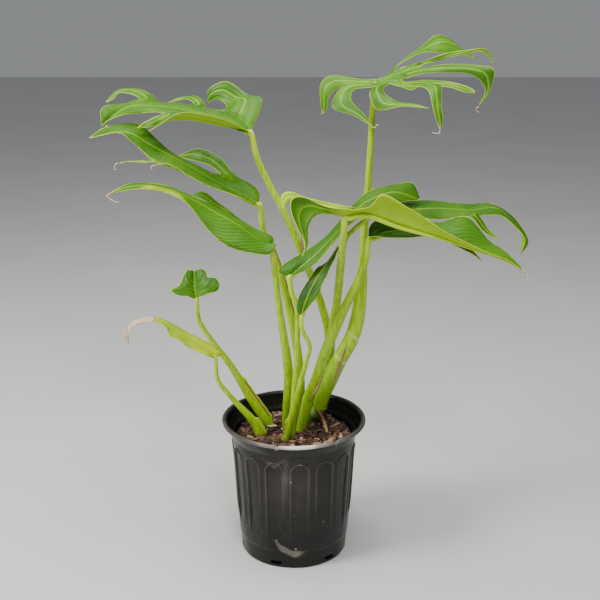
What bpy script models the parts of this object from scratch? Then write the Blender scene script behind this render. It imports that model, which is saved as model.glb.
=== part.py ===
"""Potted monstera: a nursery can of moulded plastic, potting mix, a short rootstock with an
aerial root, and eleven leaves, each a finger-lobed blade on a long petiole.

Metres, +Z up. The origin is the middle of the pot's flat base, which is what it stands on.
Leaf and stem points are in millimetres, in the same frame.
"""

import math
import random

import bmesh
import bpy
import numpy as np
from mathutils import Matrix, Vector

MM = 0.001
# The leaf and stem points are measured with the mix at this height. They rise and fall with it.
POINTS_SOIL_LEVEL = 182

# Pot: a thin tapered can with a rolled lip, arched panels and a moulded heel.
POT_HEIGHT = 0.210
RIM_RADIUS = 0.1075
NECK_RADIUS = 0.0925
BASE_RADIUS = 0.081
WALL = 0.0022
LIP_HEIGHT = 0.006
LIP_WIDTH = 0.0055
PANELS = 15
PANEL_FOOT = 0.045
PANEL_BELOW_STEP = 0.014
PANEL_ARCH_RISE = 0.012
PANEL_DEPTH = 0.0016
PANEL_SHARE = 0.62
STEP_BELOW_LIP = 0.024
STEP_HEIGHT = POT_HEIGHT - STEP_BELOW_LIP
STEP_WIDTH = 0.0016
PANEL_TOP = STEP_HEIGHT - PANEL_BELOW_STEP
HEEL_HEIGHT = 0.028
HEEL_STEP = 0.0012
DRAIN_HOLES = 6
DRAIN_WIDTH, DRAIN_TOP = 0.016, 0.010
DRAIN_SILL = 0.0045
DRAIN_TURN = math.radians(-19)
POT_STEPS_PER_PANEL = 6

# Potting mix: fills the pot to a little under the lip.
SOIL_BELOW_LIP = 0.028
SOIL_LEVEL = POT_HEIGHT - SOIL_BELOW_LIP
SOIL_STEPS = 48

# Gaps that touching pieces keep.
SEAT_GAP = 0.0003
JOINT_GAP = 0.0016

# Leaves.
BLADE_THICKNESS = 0.0012
MIDRIB_STEPS = 12
HALF_STEPS = 2
LOBE_STEPS = 6
HALF_CROWN = 0.10
LOBE_CROWN = 0.10
STEM_STEPS = 16
STEM_SIDES = 3
JOINT_RADIUS = 0.0016


def clear_scene():
    for thing in list(bpy.data.objects):
        bpy.data.objects.remove(thing, do_unlink=True)


def material(name, colour, roughness):
    made = bpy.data.materials.new(name)
    made.use_nodes = True
    shader = made.node_tree.nodes["Principled BSDF"]
    shader.inputs["Base Color"].default_value = (*colour, 1.0)
    shader.inputs["Roughness"].default_value = roughness
    shader.inputs["Metallic"].default_value = 0.0
    return made


def placed(name, data, finish):
    thing = bpy.data.objects.new(name, data)
    thing.data.materials.append(finish)
    bpy.context.collection.objects.link(thing)
    return thing


def mesh_piece(name, points, faces, finish, merge=1e-6):
    """A mesh object from points and faces, with coincident points merged."""
    mesh = bpy.data.meshes.new(name)
    mesh.from_pydata([tuple(p) for p in points], [], faces)
    shape = bmesh.new()
    shape.from_mesh(mesh)
    bmesh.ops.remove_doubles(shape, verts=shape.verts, dist=merge)
    bmesh.ops.recalc_face_normals(shape, faces=shape.faces)
    shape.to_mesh(mesh)
    shape.free()
    mesh.shade_smooth()
    return placed(name, mesh, finish)


def at(point):
    """A leaf or stem point in metres, standing on the mix."""
    x, y, z = point
    return Vector((x * MM, y * MM, (z - POINTS_SOIL_LEVEL) * MM + SOIL_LEVEL))


def smooth_curve(points, steps):
    """Evenly spaced points on the smooth curve that passes through the given ones."""
    knots = [Vector(p) for p in points]
    ends = [2 * knots[0] - knots[1], *knots, 2 * knots[-1] - knots[-2]]
    dense = []
    for a, b, c, d in zip(ends, ends[1:], ends[2:], ends[3:]):
        for i in range(12):
            t = i / 12
            dense.append(
                0.5 * (2 * b + (c - a) * t + (2 * a - 5 * b + 4 * c - d) * t * t
                       + (3 * b - a - 3 * c + d) * t ** 3)
            )
    dense.append(knots[-1])
    lengths = np.cumsum([0.0] + [(q - p).length for p, q in zip(dense, dense[1:])])
    even = np.linspace(0, lengths[-1], steps + 1)
    columns = [np.interp(even, lengths, [p[axis] for p in dense]) for axis in range(3)]
    return [Vector(p) for p in zip(*columns)]


def revolved(rows, steps, radius_at):
    """Points and faces of a turned shape; the first and last rows are its two centres."""
    points, faces = [(0, 0, rows[0])], []
    rings = len(radius_at)
    for ring in range(rings):
        for step in range(steps):
            angle = math.tau * step / steps
            radius = radius_at[ring](angle)
            points.append((radius * math.cos(angle), radius * math.sin(angle), rows[ring + 1]))
    points.append((0, 0, rows[-1]))
    last = len(points) - 1
    for step in range(steps):
        beside = (step + 1) % steps
        faces.append((0, 1 + beside, 1 + step))
        for ring in range(rings - 1):
            low, high = 1 + ring * steps, 1 + (ring + 1) * steps
            faces.append((low + step, low + beside, high + beside, high + step))
        top = 1 + (rings - 1) * steps
        faces.append((top + step, top + beside, last))
    return points, faces


def outer_radius(z):
    """The pot's plain outer radius under the lip, with its heel and its step ring."""
    radius = BASE_RADIUS + (NECK_RADIUS - BASE_RADIUS) * z / STEP_HEIGHT
    if z < HEEL_HEIGHT:
        radius -= HEEL_STEP
    if z > STEP_HEIGHT:
        radius += STEP_WIDTH
    return radius


def panel_radius(z):
    """The outer radius at this height, set back inside the arched panels."""
    def at(angle):
        across = abs((angle * PANELS / math.tau) % 1 - 0.5) * 2 / PANEL_SHARE
        arch = PANEL_TOP - PANEL_ARCH_RISE * (1 - math.sqrt(max(0.0, 1 - across ** 2)))
        inside = across < 0.95 and PANEL_FOOT < z < arch
        return outer_radius(z) - (PANEL_DEPTH if inside else 0.0)

    return at


def plain(radius):
    return lambda angle: radius


def make_pot(finish):
    heights = [0.0, HEEL_HEIGHT - 0.001, HEEL_HEIGHT + 0.001, PANEL_FOOT - 0.002, PANEL_FOOT + 0.002,
               (PANEL_FOOT + PANEL_TOP) / 2]
    heights += [PANEL_TOP - drop for drop in (0.026, 0.018, 0.012, 0.006, 0.001, -0.003)]
    rows = [0.0, *heights, STEP_HEIGHT - 0.001, STEP_HEIGHT + 0.001]
    rings = [panel_radius(z) for z in heights]
    rings += [plain(outer_radius(STEP_HEIGHT - 0.001)), plain(outer_radius(STEP_HEIGHT + 0.001))]
    collar = RIM_RADIUS - LIP_WIDTH
    lip_foot = POT_HEIGHT - LIP_HEIGHT
    profile = [
        (lip_foot, collar), (lip_foot - 0.001, RIM_RADIUS - 0.002), (lip_foot + 0.001, RIM_RADIUS),
        (POT_HEIGHT - 0.001, RIM_RADIUS), (POT_HEIGHT, RIM_RADIUS - 0.0015),
        (POT_HEIGHT, collar + 0.001), (POT_HEIGHT - 0.002, collar - WALL),
        (STEP_HEIGHT + 0.001, outer_radius(STEP_HEIGHT + 0.001) - WALL),
        (STEP_HEIGHT - 0.001, inner_radius(STEP_HEIGHT - 0.001)),
        (HEEL_HEIGHT, inner_radius(HEEL_HEIGHT)), (WALL + 0.001, inner_radius(WALL)),
        (WALL, inner_radius(WALL) - 0.001),
    ]
    rows += [z for z, _ in profile] + [WALL]
    rings += [plain(radius) for _, radius in profile]
    pot = mesh_piece("nursery_pot", *revolved(rows, PANELS * POT_STEPS_PER_PANEL, rings), finish)
    cutters = bmesh.new()
    for hole in range(DRAIN_HOLES):
        angle = math.tau * (hole + 0.5) / DRAIN_HOLES + DRAIN_TURN
        made = bmesh.ops.create_cube(cutters, size=1.0)["verts"]
        size = (0.02, DRAIN_WIDTH, DRAIN_TOP - DRAIN_SILL)
        bmesh.ops.scale(cutters, verts=made, vec=size)
        bmesh.ops.translate(cutters, verts=made, vec=(BASE_RADIUS, 0, (DRAIN_TOP + DRAIN_SILL) / 2))
        turn = Matrix.Rotation(angle, 3, "Z")
        bmesh.ops.rotate(cutters, verts=made, cent=(0, 0, 0), matrix=turn)
    mesh = bpy.data.meshes.new("drain_cutters")
    cutters.to_mesh(mesh)
    cutters.free()
    cutter = bpy.data.objects.new("drain_cutters", mesh)
    bpy.context.collection.objects.link(cutter)
    cutter.hide_render = True
    cutter.display_type = "WIRE"
    holes = pot.modifiers.new("drain_holes", "BOOLEAN")
    holes.object = cutter
    holes.operation = "DIFFERENCE"


def inner_radius(z):
    """The pot's inner radius: the deepest outer surface less the wall."""
    set_back = PANEL_DEPTH + HEEL_STEP
    return BASE_RADIUS + (NECK_RADIUS - BASE_RADIUS) * z / STEP_HEIGHT - WALL - set_back


def make_soil(finish):
    foot = WALL + SEAT_GAP
    rows = [foot, foot, foot + 0.002, SOIL_LEVEL, SOIL_LEVEL]
    rings = [plain(inner_radius(foot) - 0.002), plain(inner_radius(foot) - SEAT_GAP),
             plain(inner_radius(SOIL_LEVEL) - SEAT_GAP)]
    mesh_piece("potting_mix", *revolved(rows, SOIL_STEPS, rings), finish)


def make_chips(finish):
    """Bark chips that lie on the mix: flat, broken pieces, each turned its own way."""
    dice = random.Random(7)
    places = [(-62, 26, 15), (-30, -52, 13), (34, -46, 16), (62, -22, 12), (66, 24, 14),
              (-8, -66, 11), (-66, -22, 10), (-22, 66, 14)]
    for number, (x, y, size) in enumerate(places, 1):
        shape = bmesh.new()
        bmesh.ops.create_icosphere(shape, subdivisions=1, radius=size * MM / 2)
        for corner in shape.verts:
            corner.co *= dice.uniform(0.8, 1.2)
            corner.co.z = max(corner.co.z * 0.45, -size * MM * 0.12)
            corner.co.y *= 0.7
        turn = Matrix.Rotation(dice.uniform(0, math.pi), 3, "Z")
        bmesh.ops.rotate(shape, verts=shape.verts, cent=(0, 0, 0), matrix=turn)
        lift = SOIL_LEVEL + SEAT_GAP - min(corner.co.z for corner in shape.verts)
        bmesh.ops.translate(shape, verts=shape.verts, vec=(x * MM, y * MM, lift))
        mesh = bpy.data.meshes.new(f"bark_chip_{number}")
        shape.to_mesh(mesh)
        shape.free()
        placed(f"bark_chip_{number}", mesh, finish)


def stem(name, points, radii, finish, foot=False, steps=STEM_STEPS, tapered=True):
    """A tapering stem along the points, in millimetres. With a foot it rises straight from the mix,
    and a tapered end narrows to the joint that its blade grows from."""
    route = [at(p) for p in points]
    if foot:
        base = route[0].copy()
        base.z = SOIL_LEVEL + SEAT_GAP
        route = [base, base + Vector((0, 0, 0.008)), *route[1:]]
    if tapered:
        back = (route[-2] - route[-1]).normalized()
        route[-1] = route[-1] + back * JOINT_GAP
    line = smooth_curve(route, steps)
    if foot:
        line[0].xy = line[1].xy
    curve = bpy.data.curves.new(name, "CURVE")
    curve.dimensions = "3D"
    curve.bevel_depth = 1.0
    curve.bevel_resolution = STEM_SIDES
    curve.resolution_u = 1
    curve.render_resolution_u = 0
    curve.use_fill_caps = True
    spline = curve.splines.new("POLY")
    spline.points.add(len(line) - 1)
    shares = np.linspace(0, 1, len(radii))
    for i, (point, place) in enumerate(zip(spline.points, line)):
        point.co = (*place, 1)
        point.radius = float(np.interp(i / steps, shares, radii)) * MM
    if tapered:
        spline.points[-1].radius = JOINT_RADIUS
    placed(name, curve, finish)


def blade(name, midrib, left, right, lobes, finish):
    """One leaf blade. Its two halves run from the midrib to the left and right edges, and each lobe
    grows out of an edge between two of its twelfths, bounded by two edges that meet at a tip."""
    middle = smooth_curve([at(p) for p in midrib], MIDRIB_STEPS)
    points, faces = list(middle), []
    edges = {}
    for side, sign in ((left, 1), (right, -1)):
        edge = smooth_curve([middle[0], *[at(p) for p in side], middle[-1]], MIDRIB_STEPS)
        columns = []
        for k in range(MIDRIB_STEPS + 1):
            row = [k]
            across = edge[k] - middle[k]
            along = middle[min(k + 1, MIDRIB_STEPS)] - middle[max(k - 1, 0)]
            up = along.cross(across) * sign
            up = up.normalized() if up.length > 0 else up
            for c in range(1, HALF_STEPS + 1):
                share = c / HALF_STEPS
                rise = HALF_CROWN * across.length * math.sin(math.pi * share)
                points.append(middle[k] + across * share + up * rise)
                row.append(len(points) - 1)
            columns.append(row if 0 < k < MIDRIB_STEPS else [k] * len(row))
        for k in range(MIDRIB_STEPS):
            for c in range(HALF_STEPS):
                corners = (columns[k][c], columns[k + 1][c], columns[k + 1][c + 1], columns[k][c + 1])
                faces.append(tuple(dict.fromkeys(corners)))
        edges[sign] = [row[-1] for row in columns]
    for side, start, end, first, second, tip in lobes:
        base = edges[1 if side == "left" else -1][start:end + 1]
        lobe(points, faces, base, first, second, tip, 1 if side == "left" else -1)
    faces = [face for face in faces if len(face) > 2]
    sheet = mesh_piece(name, points, faces, finish)
    wall = sheet.modifiers.new("thickness", "SOLIDIFY")
    wall.thickness = BLADE_THICKNESS
    wall.offset = 0
    return sheet


def lobe(points, faces, base, first, second, tip, sign):
    """Rows of points from the base row, which is part of a blade's edge, to the lobe's tip."""
    tip = at(tip)
    start, end = points[base[0]], points[base[-1]]
    edge_a = smooth_curve([start, *[at(p) for p in first], tip], LOBE_STEPS)
    edge_b = smooth_curve([end, *[at(p) for p in second], tip], LOBE_STEPS)
    across_steps = len(base) - 1
    bulge = [points[b] - start.lerp(end, c / across_steps) for c, b in enumerate(base)]
    last = base
    for r in range(1, LOBE_STEPS):
        row = []
        span = edge_b[r] - edge_a[r]
        along = (edge_a[r + 1] + edge_b[r + 1]) - (edge_a[r - 1] + edge_b[r - 1])
        up = span.cross(along) * sign
        up = up.normalized() if up.length > 0 else up
        fade = (1 - r / LOBE_STEPS) ** 2
        for c in range(across_steps + 1):
            share = c / across_steps
            rise = LOBE_CROWN * span.length * math.sin(math.pi * share)
            points.append(edge_a[r].lerp(edge_b[r], share) + bulge[c] * fade + up * rise)
            row.append(len(points) - 1)
        for c in range(across_steps):
            faces.append((last[c], last[c + 1], row[c + 1], row[c]))
        last = row
    points.append(tip)
    for c in range(across_steps):
        faces.append((last[c], last[c + 1], len(points) - 1))


def make_leaf_top_left(leaf, petiole):
    stem("petiole_top_left", [(18, 68, 182), (34, 62, 230), (48, 56, 290), (52, 52, 325), (37, 42, 384),
                              (9, 32, 461), (-15, 25, 519), (-32, 22, 552), (-51, 20, 595), (-59, 20, 631)],
         [7, 6, 5.5, 5, 4], petiole, foot=True)
    blade("blade_top_left",
          [(-59, 20, 631), (-93, 15, 650), (-136, 10, 660), (-183, 5, 668), (-226, 0, 668), (-263, -5, 643)],
          [(-74, 5, 635), (-120, -8, 650), (-174, -10, 661), (-222, -10, 660), (-253, -8, 651)],
          [(-78, 35, 649), (-123, 30, 663), (-178, 22, 672), (-228, 12, 672), (-261, 2, 667)],
          [("right", 0, 3, [(-44, 50, 671), (-66, 60, 679), (-95, 70, 696), (-121, 75, 685)],
            [(-94, 52, 662), (-102, 62, 669), (-112, 70, 671)], (-124, 76, 665)),
           ("right", 4, 5, [(-123, 40, 665), (-131, 50, 673), (-143, 60, 677), (-159, 68, 674), (-175, 78, 668)],
            [(-140, 42, 666), (-145, 50, 671), (-156, 60, 672), (-168, 70, 669)], (-189, 85, 663)),
           ("right", 7, 9, [(-187, 36, 671), (-200, 44, 680), (-213, 50, 686), (-228, 53, 688),
                            (-245, 52, 686), (-255, 44, 680)],
            [(-216, 36, 675), (-228, 42, 681), (-241, 46, 683), (-248, 42, 680), (-251, 34, 675)], (-261, 26, 672)),
           ("left", 0, 2, [(-89, -18, 651), (-124, -40, 664), (-152, -55, 665)],
            [(-125, -20, 650), (-160, -36, 655)], (-192, -62, 643)),
           ("left", 6, 7, [(-174, -18, 652), (-191, -26, 645)],
            [(-189, -20, 656), (-202, -28, 650)], (-210, -34, 644))], leaf)


def make_leaf_mid_left(leaf, petiole):
    stem("petiole_mid_left", [(4, 44, 182), (10, 40, 240), (5, 34, 303), (-3, 30, 351), (-17, 26, 414),
                              (-31, 22, 461), (-43, 16, 490), (-47, 5, 530)],
         [6.5, 6.5, 6, 4.5, 4], petiole, foot=True)
    blade("blade_mid_left",
          [(-47, 5, 531), (-100, 2, 560), (-154, -5, 593), (-197, -10, 618), (-229, -15, 636),
           (-278, -20, 629)],
          [(-73, -12, 544), (-129, -20, 568), (-155, -22, 584), (-189, -24, 597), (-217, -22, 622),
           (-239, -22, 636)],
          [(-50, 20, 548), (-70, 28, 561), (-96, 25, 563), (-132, 20, 582), (-167, 14, 601),
           (-192, 8, 625), (-216, 2, 645), (-255, -8, 642)],
          [("right", 2, 4, [(-88, 45, 570), (-108, 60, 590), (-139, 75, 599)],
            [(-104, 40, 568), (-122, 52, 579), (-142, 65, 583)], (-174, 90, 585)),
           ("left", 5, 6, [(-165, -28, 592), (-177, -32, 595)], [(-171, -28, 594), (-181, -32, 596)], (-191, -36, 593)),
           ("left", 7, 8, [(-181, -28, 597), (-201, -36, 598), (-220, -43, 600)],
            [(-195, -28, 599), (-207, -36, 600), (-222, -43, 601)], (-235, -48, 599))], leaf)


def make_leaf_low_left(leaf, petiole):
    stem("petiole_low_left", [(-12, 22, 182), (-8, 12, 253), (-10, 2, 300), (-17, -8, 356), (-22, -15, 399),
                              (-26, -20, 435), (-30, -25, 473)],
         [7.5, 7, 6, 4.5, 4], petiole, foot=True)
    blade("blade_low_left",
          [(-30, -25, 474), (-55, -28, 492), (-79, -30, 511), (-111, -32, 530), (-145, -35, 550),
           (-181, -40, 565), (-221, -45, 567), (-253, -50, 556)],
          [(-22, -36, 482), (-35, -44, 471), (-65, -52, 477), (-92, -54, 487), (-115, -52, 506),
           (-144, -48, 543), (-180, -48, 561), (-221, -50, 563)],
          [(-29, -12, 488), (-54, -8, 500), (-83, -8, 516), (-105, -12, 531), (-132, -20, 544),
           (-146, -28, 553), (-182, -36, 568), (-221, -43, 570)],
          [("right", 3, 4, [(-94, 12, 523), (-110, 20, 533), (-129, 28, 545)],
            [(-101, 8, 521), (-116, 14, 529), (-133, 22, 536)], (-150, 32, 539))], leaf)


def make_leaf_small_fan(leaf, petiole):
    stem("petiole_small_fan", [(-33, 18, 182), (-47, 18, 204), (-70, 16, 242), (-95, 12, 288),
                               (-120, 8, 326), (-138, 4, 360), (-140, 0, 391)],
         [8, 7, 5, 3.5, 3], petiole, foot=True)
    blade("blade_small_fan",
          [(-140, 0, 393), (-143, 6, 411), (-144, 14, 431)],
          [(-152, -4, 398), (-165, -6, 401), (-177, -6, 408), (-166, -2, 413), (-161, 4, 422),
           (-155, 10, 433), (-150, 13, 433)],
          [(-135, -4, 398), (-123, -6, 403), (-111, -6, 407), (-106, -4, 416), (-112, 2, 424),
           (-123, 4, 425), (-128, 10, 433), (-137, 13, 435)],
          [], leaf)


def make_leaf_yellowing(leaf, petiole):
    stem("petiole_yellowing", [(-49, -14, 182), (-56, -15, 202), (-69, -18, 221), (-92, -24, 251),
                               (-110, -28, 280), (-112, -30, 313)],
         [8, 6, 4, 3, 2.6], petiole, foot=True)
    blade("blade_yellowing",
          [(-112, -30, 315), (-134, -33, 333), (-157, -36, 351), (-181, -38, 368), (-207, -40, 375),
           (-231, -44, 368), (-234, -48, 341)],
          [(-122, -40, 320), (-147, -42, 332), (-160, -44, 344), (-175, -45, 352), (-181, -45, 366),
           (-202, -46, 374), (-226, -46, 367), (-234, -48, 353)],
          [(-101, -22, 318), (-127, -24, 337), (-164, -28, 359), (-186, -30, 373), (-206, -34, 377),
           (-229, -40, 371), (-238, -46, 354)],
          [], leaf)


def make_leaf_top_right(leaf, petiole):
    stem("petiole_top_right", [(40, 20, 221), (46, 18, 244), (66, 16, 290), (88, 14, 335), (97, 12, 388),
                               (100, 11, 449), (102, 10, 511), (106, 8, 580), (109, 2, 664), (110, 0, 698)],
         [10, 12, 11, 10.5, 8.5, 6, 5, 4.8, 4.5, 4.2, 4], petiole)
    blade("blade_top_right",
          [(111, 0, 699), (139, 8, 710), (160, 14, 718), (179, 20, 724)],
          [(108, 6, 701), (116, 9, 705), (130, 13, 710), (146, 17, 718), (163, 20, 723)],
          [(109, -6, 699), (117, -12, 697), (131, -12, 701), (145, -4, 707), (162, 10, 715)],
          [("left", 3, 6, [(130, 14, 711), (143, 30, 721), (160, 45, 733), (177, 58, 743), (192, 70, 755),
                           (204, 78, 760), (222, 80, 754), (236, 76, 743)],
            [(147, 26, 724), (165, 34, 733), (181, 38, 738), (205, 44, 738), (234, 56, 734)],
            (260, 70, 729)),
           ("left", 10, 12, [(202, 30, 735), (223, 34, 740), (244, 36, 742), (262, 40, 744), (274, 42, 736)],
            [(202, 28, 729), (223, 32, 734), (241, 34, 737), (258, 38, 740), (272, 41, 732)],
            (281, 44, 722)),
           ("left", 0, 2, [(75, 8, 696), (59, 12, 691), (49, 14, 679), (47, 16, 665)],
            [(81, 20, 705), (52, 25, 708), (38, 25, 697), (38, 20, 675)], (40, 18, 656)),
           ("right", 0, 2, [(70, -10, 697), (55, -20, 682), (54, -30, 669), (81, -40, 661)],
            [(86, -14, 694), (78, -20, 686), (80, -28, 677), (93, -36, 664)], (108, -48, 647)),
           ("right", 2, 4, [(104, -30, 694), (102, -45, 685), (112, -55, 671), (144, -65, 676)],
            [(120, -28, 696), (123, -42, 689), (136, -52, 682), (156, -62, 679)], (180, -70, 675)),
           ("right", 4, 5, [(142, -30, 699), (156, -44, 695), (166, -60, 702), (175, -74, 698),
                            (178, -82, 687), (182, -84, 671)],
            [(149, -28, 702), (167, -44, 705), (192, -60, 703), (192, -74, 695), (192, -84, 677),
             (194, -84, 661)], (191, -82, 647)),
           ("right", 5, 7, [(150, -22, 698), (169, -34, 699), (194, -46, 700), (208, -54, 699),
                            (222, -62, 695)],
            [(150, -16, 704), (176, -26, 706), (200, -44, 707), (218, -56, 704), (231, -63, 700)],
            (239, -68, 694)),
           ("right", 8, 10, [(151, -6, 707), (170, -14, 713), (196, -22, 716), (222, -30, 717),
                             (240, -34, 713), (252, -34, 702), (256, -30, 690)],
            [(158, 2, 717), (178, -6, 722), (203, -16, 726), (228, -26, 727), (251, -34, 726),
             (265, -38, 722), (265, -34, 705), (260, -30, 687)], (248, -26, 670))], leaf)


def make_leaf_centre_right(leaf, petiole):
    stem("petiole_centre_right", [(30, 58, 182), (41, 47, 223), (49, 36, 266), (54, 22, 309), (57, 4, 353),
                                  (62, -14, 396), (66, -40, 461), (69, -52, 499), (70, -60, 526)],
         [6.5, 6, 5.5, 5, 4.5], petiole, foot=True)
    blade("blade_centre_right",
          [(70, -60, 528), (98, -68, 535), (144, -74, 519), (200, -78, 503), (244, -80, 487),
           (289, -80, 470), (316, -80, 455)],
          [(91, -52, 538), (147, -48, 529), (196, -46, 517), (237, -42, 523), (269, -54, 493),
           (292, -66, 478)],
          [(80, -78, 541), (102, -90, 549), (118, -100, 566), (152, -100, 549), (191, -98, 523),
           (241, -92, 495), (288, -84, 474)],
          [("left", 0, 1, [(20, -64, 547), (1, -70, 553), (-8, -74, 550)],
            [(25, -62, 553), (-4, -68, 564), (-16, -72, 558)], (-13, -78, 541)),
           ("right", 0, 1, [(47, -75, 535), (31, -82, 535), (21, -90, 522), (20, -96, 498)],
            [(43, -75, 546), (16, -85, 560), (-1, -92, 560), (-3, -96, 544), (7, -98, 520),
             (16, -98, 500)], (12, -98, 483))], leaf)


def make_leaf_right(leaf, petiole):
    stem("petiole_right", [(40, 68, 182), (49, 54, 230), (56, 42, 276), (60, 30, 337), (66, 13, 389),
                           (69, -6, 439), (72, -20, 483), (84, -26, 502), (105, -30, 520)],
         [4.5, 4, 3.6, 3.4, 3.2], petiole, foot=True)
    blade("blade_right",
          [(106, -30, 521), (148, -20, 527), (198, -10, 529), (249, 0, 524), (289, 5, 525),
           (322, 5, 494), (325, 0, 460)],
          [(129, 5, 526), (153, 20, 532), (197, 25, 532), (249, 22, 528), (281, 16, 530), (312, 10, 512),
           (335, 6, 480)],
          [(147, -34, 522), (203, -24, 517), (243, -20, 520), (277, -12, 520), (300, -8, 513),
           (327, -3, 485)],
          [("right", 6, 7, [(247, -28, 519), (268, -30, 497)],
            [(257, -22, 524), (271, -24, 503)], (288, -30, 490))], leaf)


def make_leaf_centre_long(leaf, petiole):
    stem("petiole_centre_long", [(-3, -14, 182), (-1, -18, 227), (2, -24, 271), (5, -32, 323),
                                 (5, -42, 391), (-2, -44, 414), (-6, -45, 437)],
         [5.5, 4.5, 4, 3.6, 3.5], petiole, foot=True)
    blade("blade_centre_long",
          [(-6, -45, 439), (16, -45, 458), (38, -42, 477), (65, -36, 506), (84, -30, 528),
           (106, -24, 544), (141, -15, 553), (178, -8, 540)],
          [(-20, -38, 444), (-12, -34, 455), (20, -28, 474), (47, -24, 493), (66, -20, 516),
           (89, -16, 541), (109, -10, 555), (149, 0, 562), (168, 2, 561)],
          [(5, -54, 445), (34, -56, 464), (53, -52, 487), (77, -44, 512), (94, -38, 524),
           (117, -32, 540), (148, -22, 541)],
          [], leaf)


def make_leaf_centre_small(leaf, petiole):
    stem("petiole_centre_small", [(-12, -25, 182), (1, -32, 240), (11, -42, 284), (19, -52, 319),
                                  (23, -56, 341), (12, -60, 368), (11, -60, 384)],
         [6, 4.5, 3.6, 3, 2.8], petiole, foot=True)
    blade("blade_centre_small",
          [(11, -60, 386), (18, -58, 410), (30, -54, 435), (44, -48, 456), (55, -42, 470), (62, -38, 483)],
          [(5, -54, 394), (8, -48, 412), (22, -44, 435), (34, -40, 451), (48, -38, 459)],
          [(19, -66, 399), (33, -66, 416), (44, -60, 441), (52, -52, 455), (62, -42, 476)],
          [], leaf)


def make_leaf_front(leaf, petiole):
    stem("petiole_front", [(10, 6, 182), (21, -2, 237), (34, -10, 275), (47, -20, 322), (62, -28, 363),
                           (76, -32, 397), (89, -34, 426), (100, -34, 458), (104, -32, 489)],
         [9, 8, 7.5, 6, 4], petiole, foot=True)
    blade("blade_front",
          [(104, -32, 491), (142, -25, 500), (193, -18, 497), (235, -12, 480), (268, -10, 453)],
          [(107, -20, 506), (120, -14, 513), (150, -5, 510), (195, -2, 500), (242, -6, 478)],
          [(114, -44, 497), (141, -46, 495), (191, -34, 494), (218, -22, 482), (247, -14, 467)],
          [], leaf)


def make_rootstock(stock, root):
    stem("rootstock", [(25, 42, 182), (27, 34, 198), (33, 25, 206), (39, 21, 216)], [8, 8.5, 9, 8.5],
         stock, foot=True, tapered=True, steps=8)
    stem("aerial_root", [(50, 0, 183), (46, 4, 196), (41, 9, 208)], [2.2, 2.5, 3], root, foot=True,
         tapered=True, steps=6)


def make_dry_sheaths(finish):
    """Dead sheaths that once wrapped the young leaves, left as papery strips beside the petioles."""
    strips = {
        "dry_sheath_left": [(10, 18, 484), (14, 19, 462), (20, 20, 440)],
        "dry_sheath_right": [(77, -3, 324), (67, -4, 290), (57, -4, 264)],
        "dry_sheath_low": [(42, -24, 285), (34, -22, 262), (22, -18, 245)],
    }
    for name, points in strips.items():
        stem(name, points, [1.0, 2.2, 1.0], finish, tapered=False, steps=6)


def main():
    clear_scene()
    plastic = material("pot_plastic", (0.025, 0.024, 0.023), 0.38)
    mix = material("potting_mix", (0.09, 0.05, 0.03), 0.95)
    bark = material("bark", (0.28, 0.17, 0.09), 0.9)
    leaf = material("leaf", (0.10, 0.26, 0.04), 0.4)
    petiole = material("petiole", (0.28, 0.45, 0.07), 0.45)
    stock = material("rootstock", (0.30, 0.36, 0.12), 0.7)
    root = material("root", (0.36, 0.24, 0.13), 0.85)
    papery = material("dry_sheath", (0.50, 0.33, 0.20), 0.8)
    make_pot(plastic)
    make_soil(mix)
    make_chips(bark)
    make_rootstock(stock, root)
    for make in (make_leaf_top_left, make_leaf_mid_left, make_leaf_low_left, make_leaf_small_fan,
                 make_leaf_yellowing, make_leaf_top_right, make_leaf_centre_right, make_leaf_right,
                 make_leaf_centre_long, make_leaf_centre_small, make_leaf_front):
        make(leaf, petiole)
    make_dry_sheaths(papery)


main()
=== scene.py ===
import math
import random
import bmesh
import bpy
import numpy as np
from mathutils import Matrix, Vector, noise
from mathutils.kdtree import KDTree


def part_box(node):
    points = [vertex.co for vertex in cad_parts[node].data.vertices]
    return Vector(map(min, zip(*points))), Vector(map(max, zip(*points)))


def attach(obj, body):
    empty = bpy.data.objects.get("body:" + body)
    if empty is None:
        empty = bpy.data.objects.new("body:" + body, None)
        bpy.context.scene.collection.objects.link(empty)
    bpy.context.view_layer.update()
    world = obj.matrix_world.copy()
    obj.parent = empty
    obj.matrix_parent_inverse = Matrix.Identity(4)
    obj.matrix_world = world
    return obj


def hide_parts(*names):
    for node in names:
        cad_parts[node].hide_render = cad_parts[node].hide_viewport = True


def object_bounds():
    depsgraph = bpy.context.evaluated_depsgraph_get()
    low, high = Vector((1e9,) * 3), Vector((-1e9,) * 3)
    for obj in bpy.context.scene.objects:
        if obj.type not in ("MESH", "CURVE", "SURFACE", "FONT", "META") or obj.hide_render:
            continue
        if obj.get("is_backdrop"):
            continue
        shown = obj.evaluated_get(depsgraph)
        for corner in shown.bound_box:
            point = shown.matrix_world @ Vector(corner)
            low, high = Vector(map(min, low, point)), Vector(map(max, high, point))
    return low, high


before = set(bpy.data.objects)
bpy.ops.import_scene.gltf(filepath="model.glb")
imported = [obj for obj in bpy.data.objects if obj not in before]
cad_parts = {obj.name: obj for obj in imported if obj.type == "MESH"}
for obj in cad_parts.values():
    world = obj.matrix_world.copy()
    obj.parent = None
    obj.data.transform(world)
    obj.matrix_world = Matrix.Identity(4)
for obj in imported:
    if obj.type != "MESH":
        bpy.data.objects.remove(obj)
cad_low, cad_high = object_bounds()
bpy.ops.object.select_all(action="DESELECT")

# ---------------------------------------------------------------------------------------------
# The stand: a plain pale floor under soft studio light, seen from a little above the leaves.
# None of it is part of the plant.
bpy.ops.object.camera_add(location=(0.0093, -1.4374, 0.8354), rotation=(math.radians(72.85), 0, 0))
camera = bpy.context.object
camera.data.sensor_width = 36.0
camera.data.lens = 62.4
bpy.context.scene.camera = camera

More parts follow.
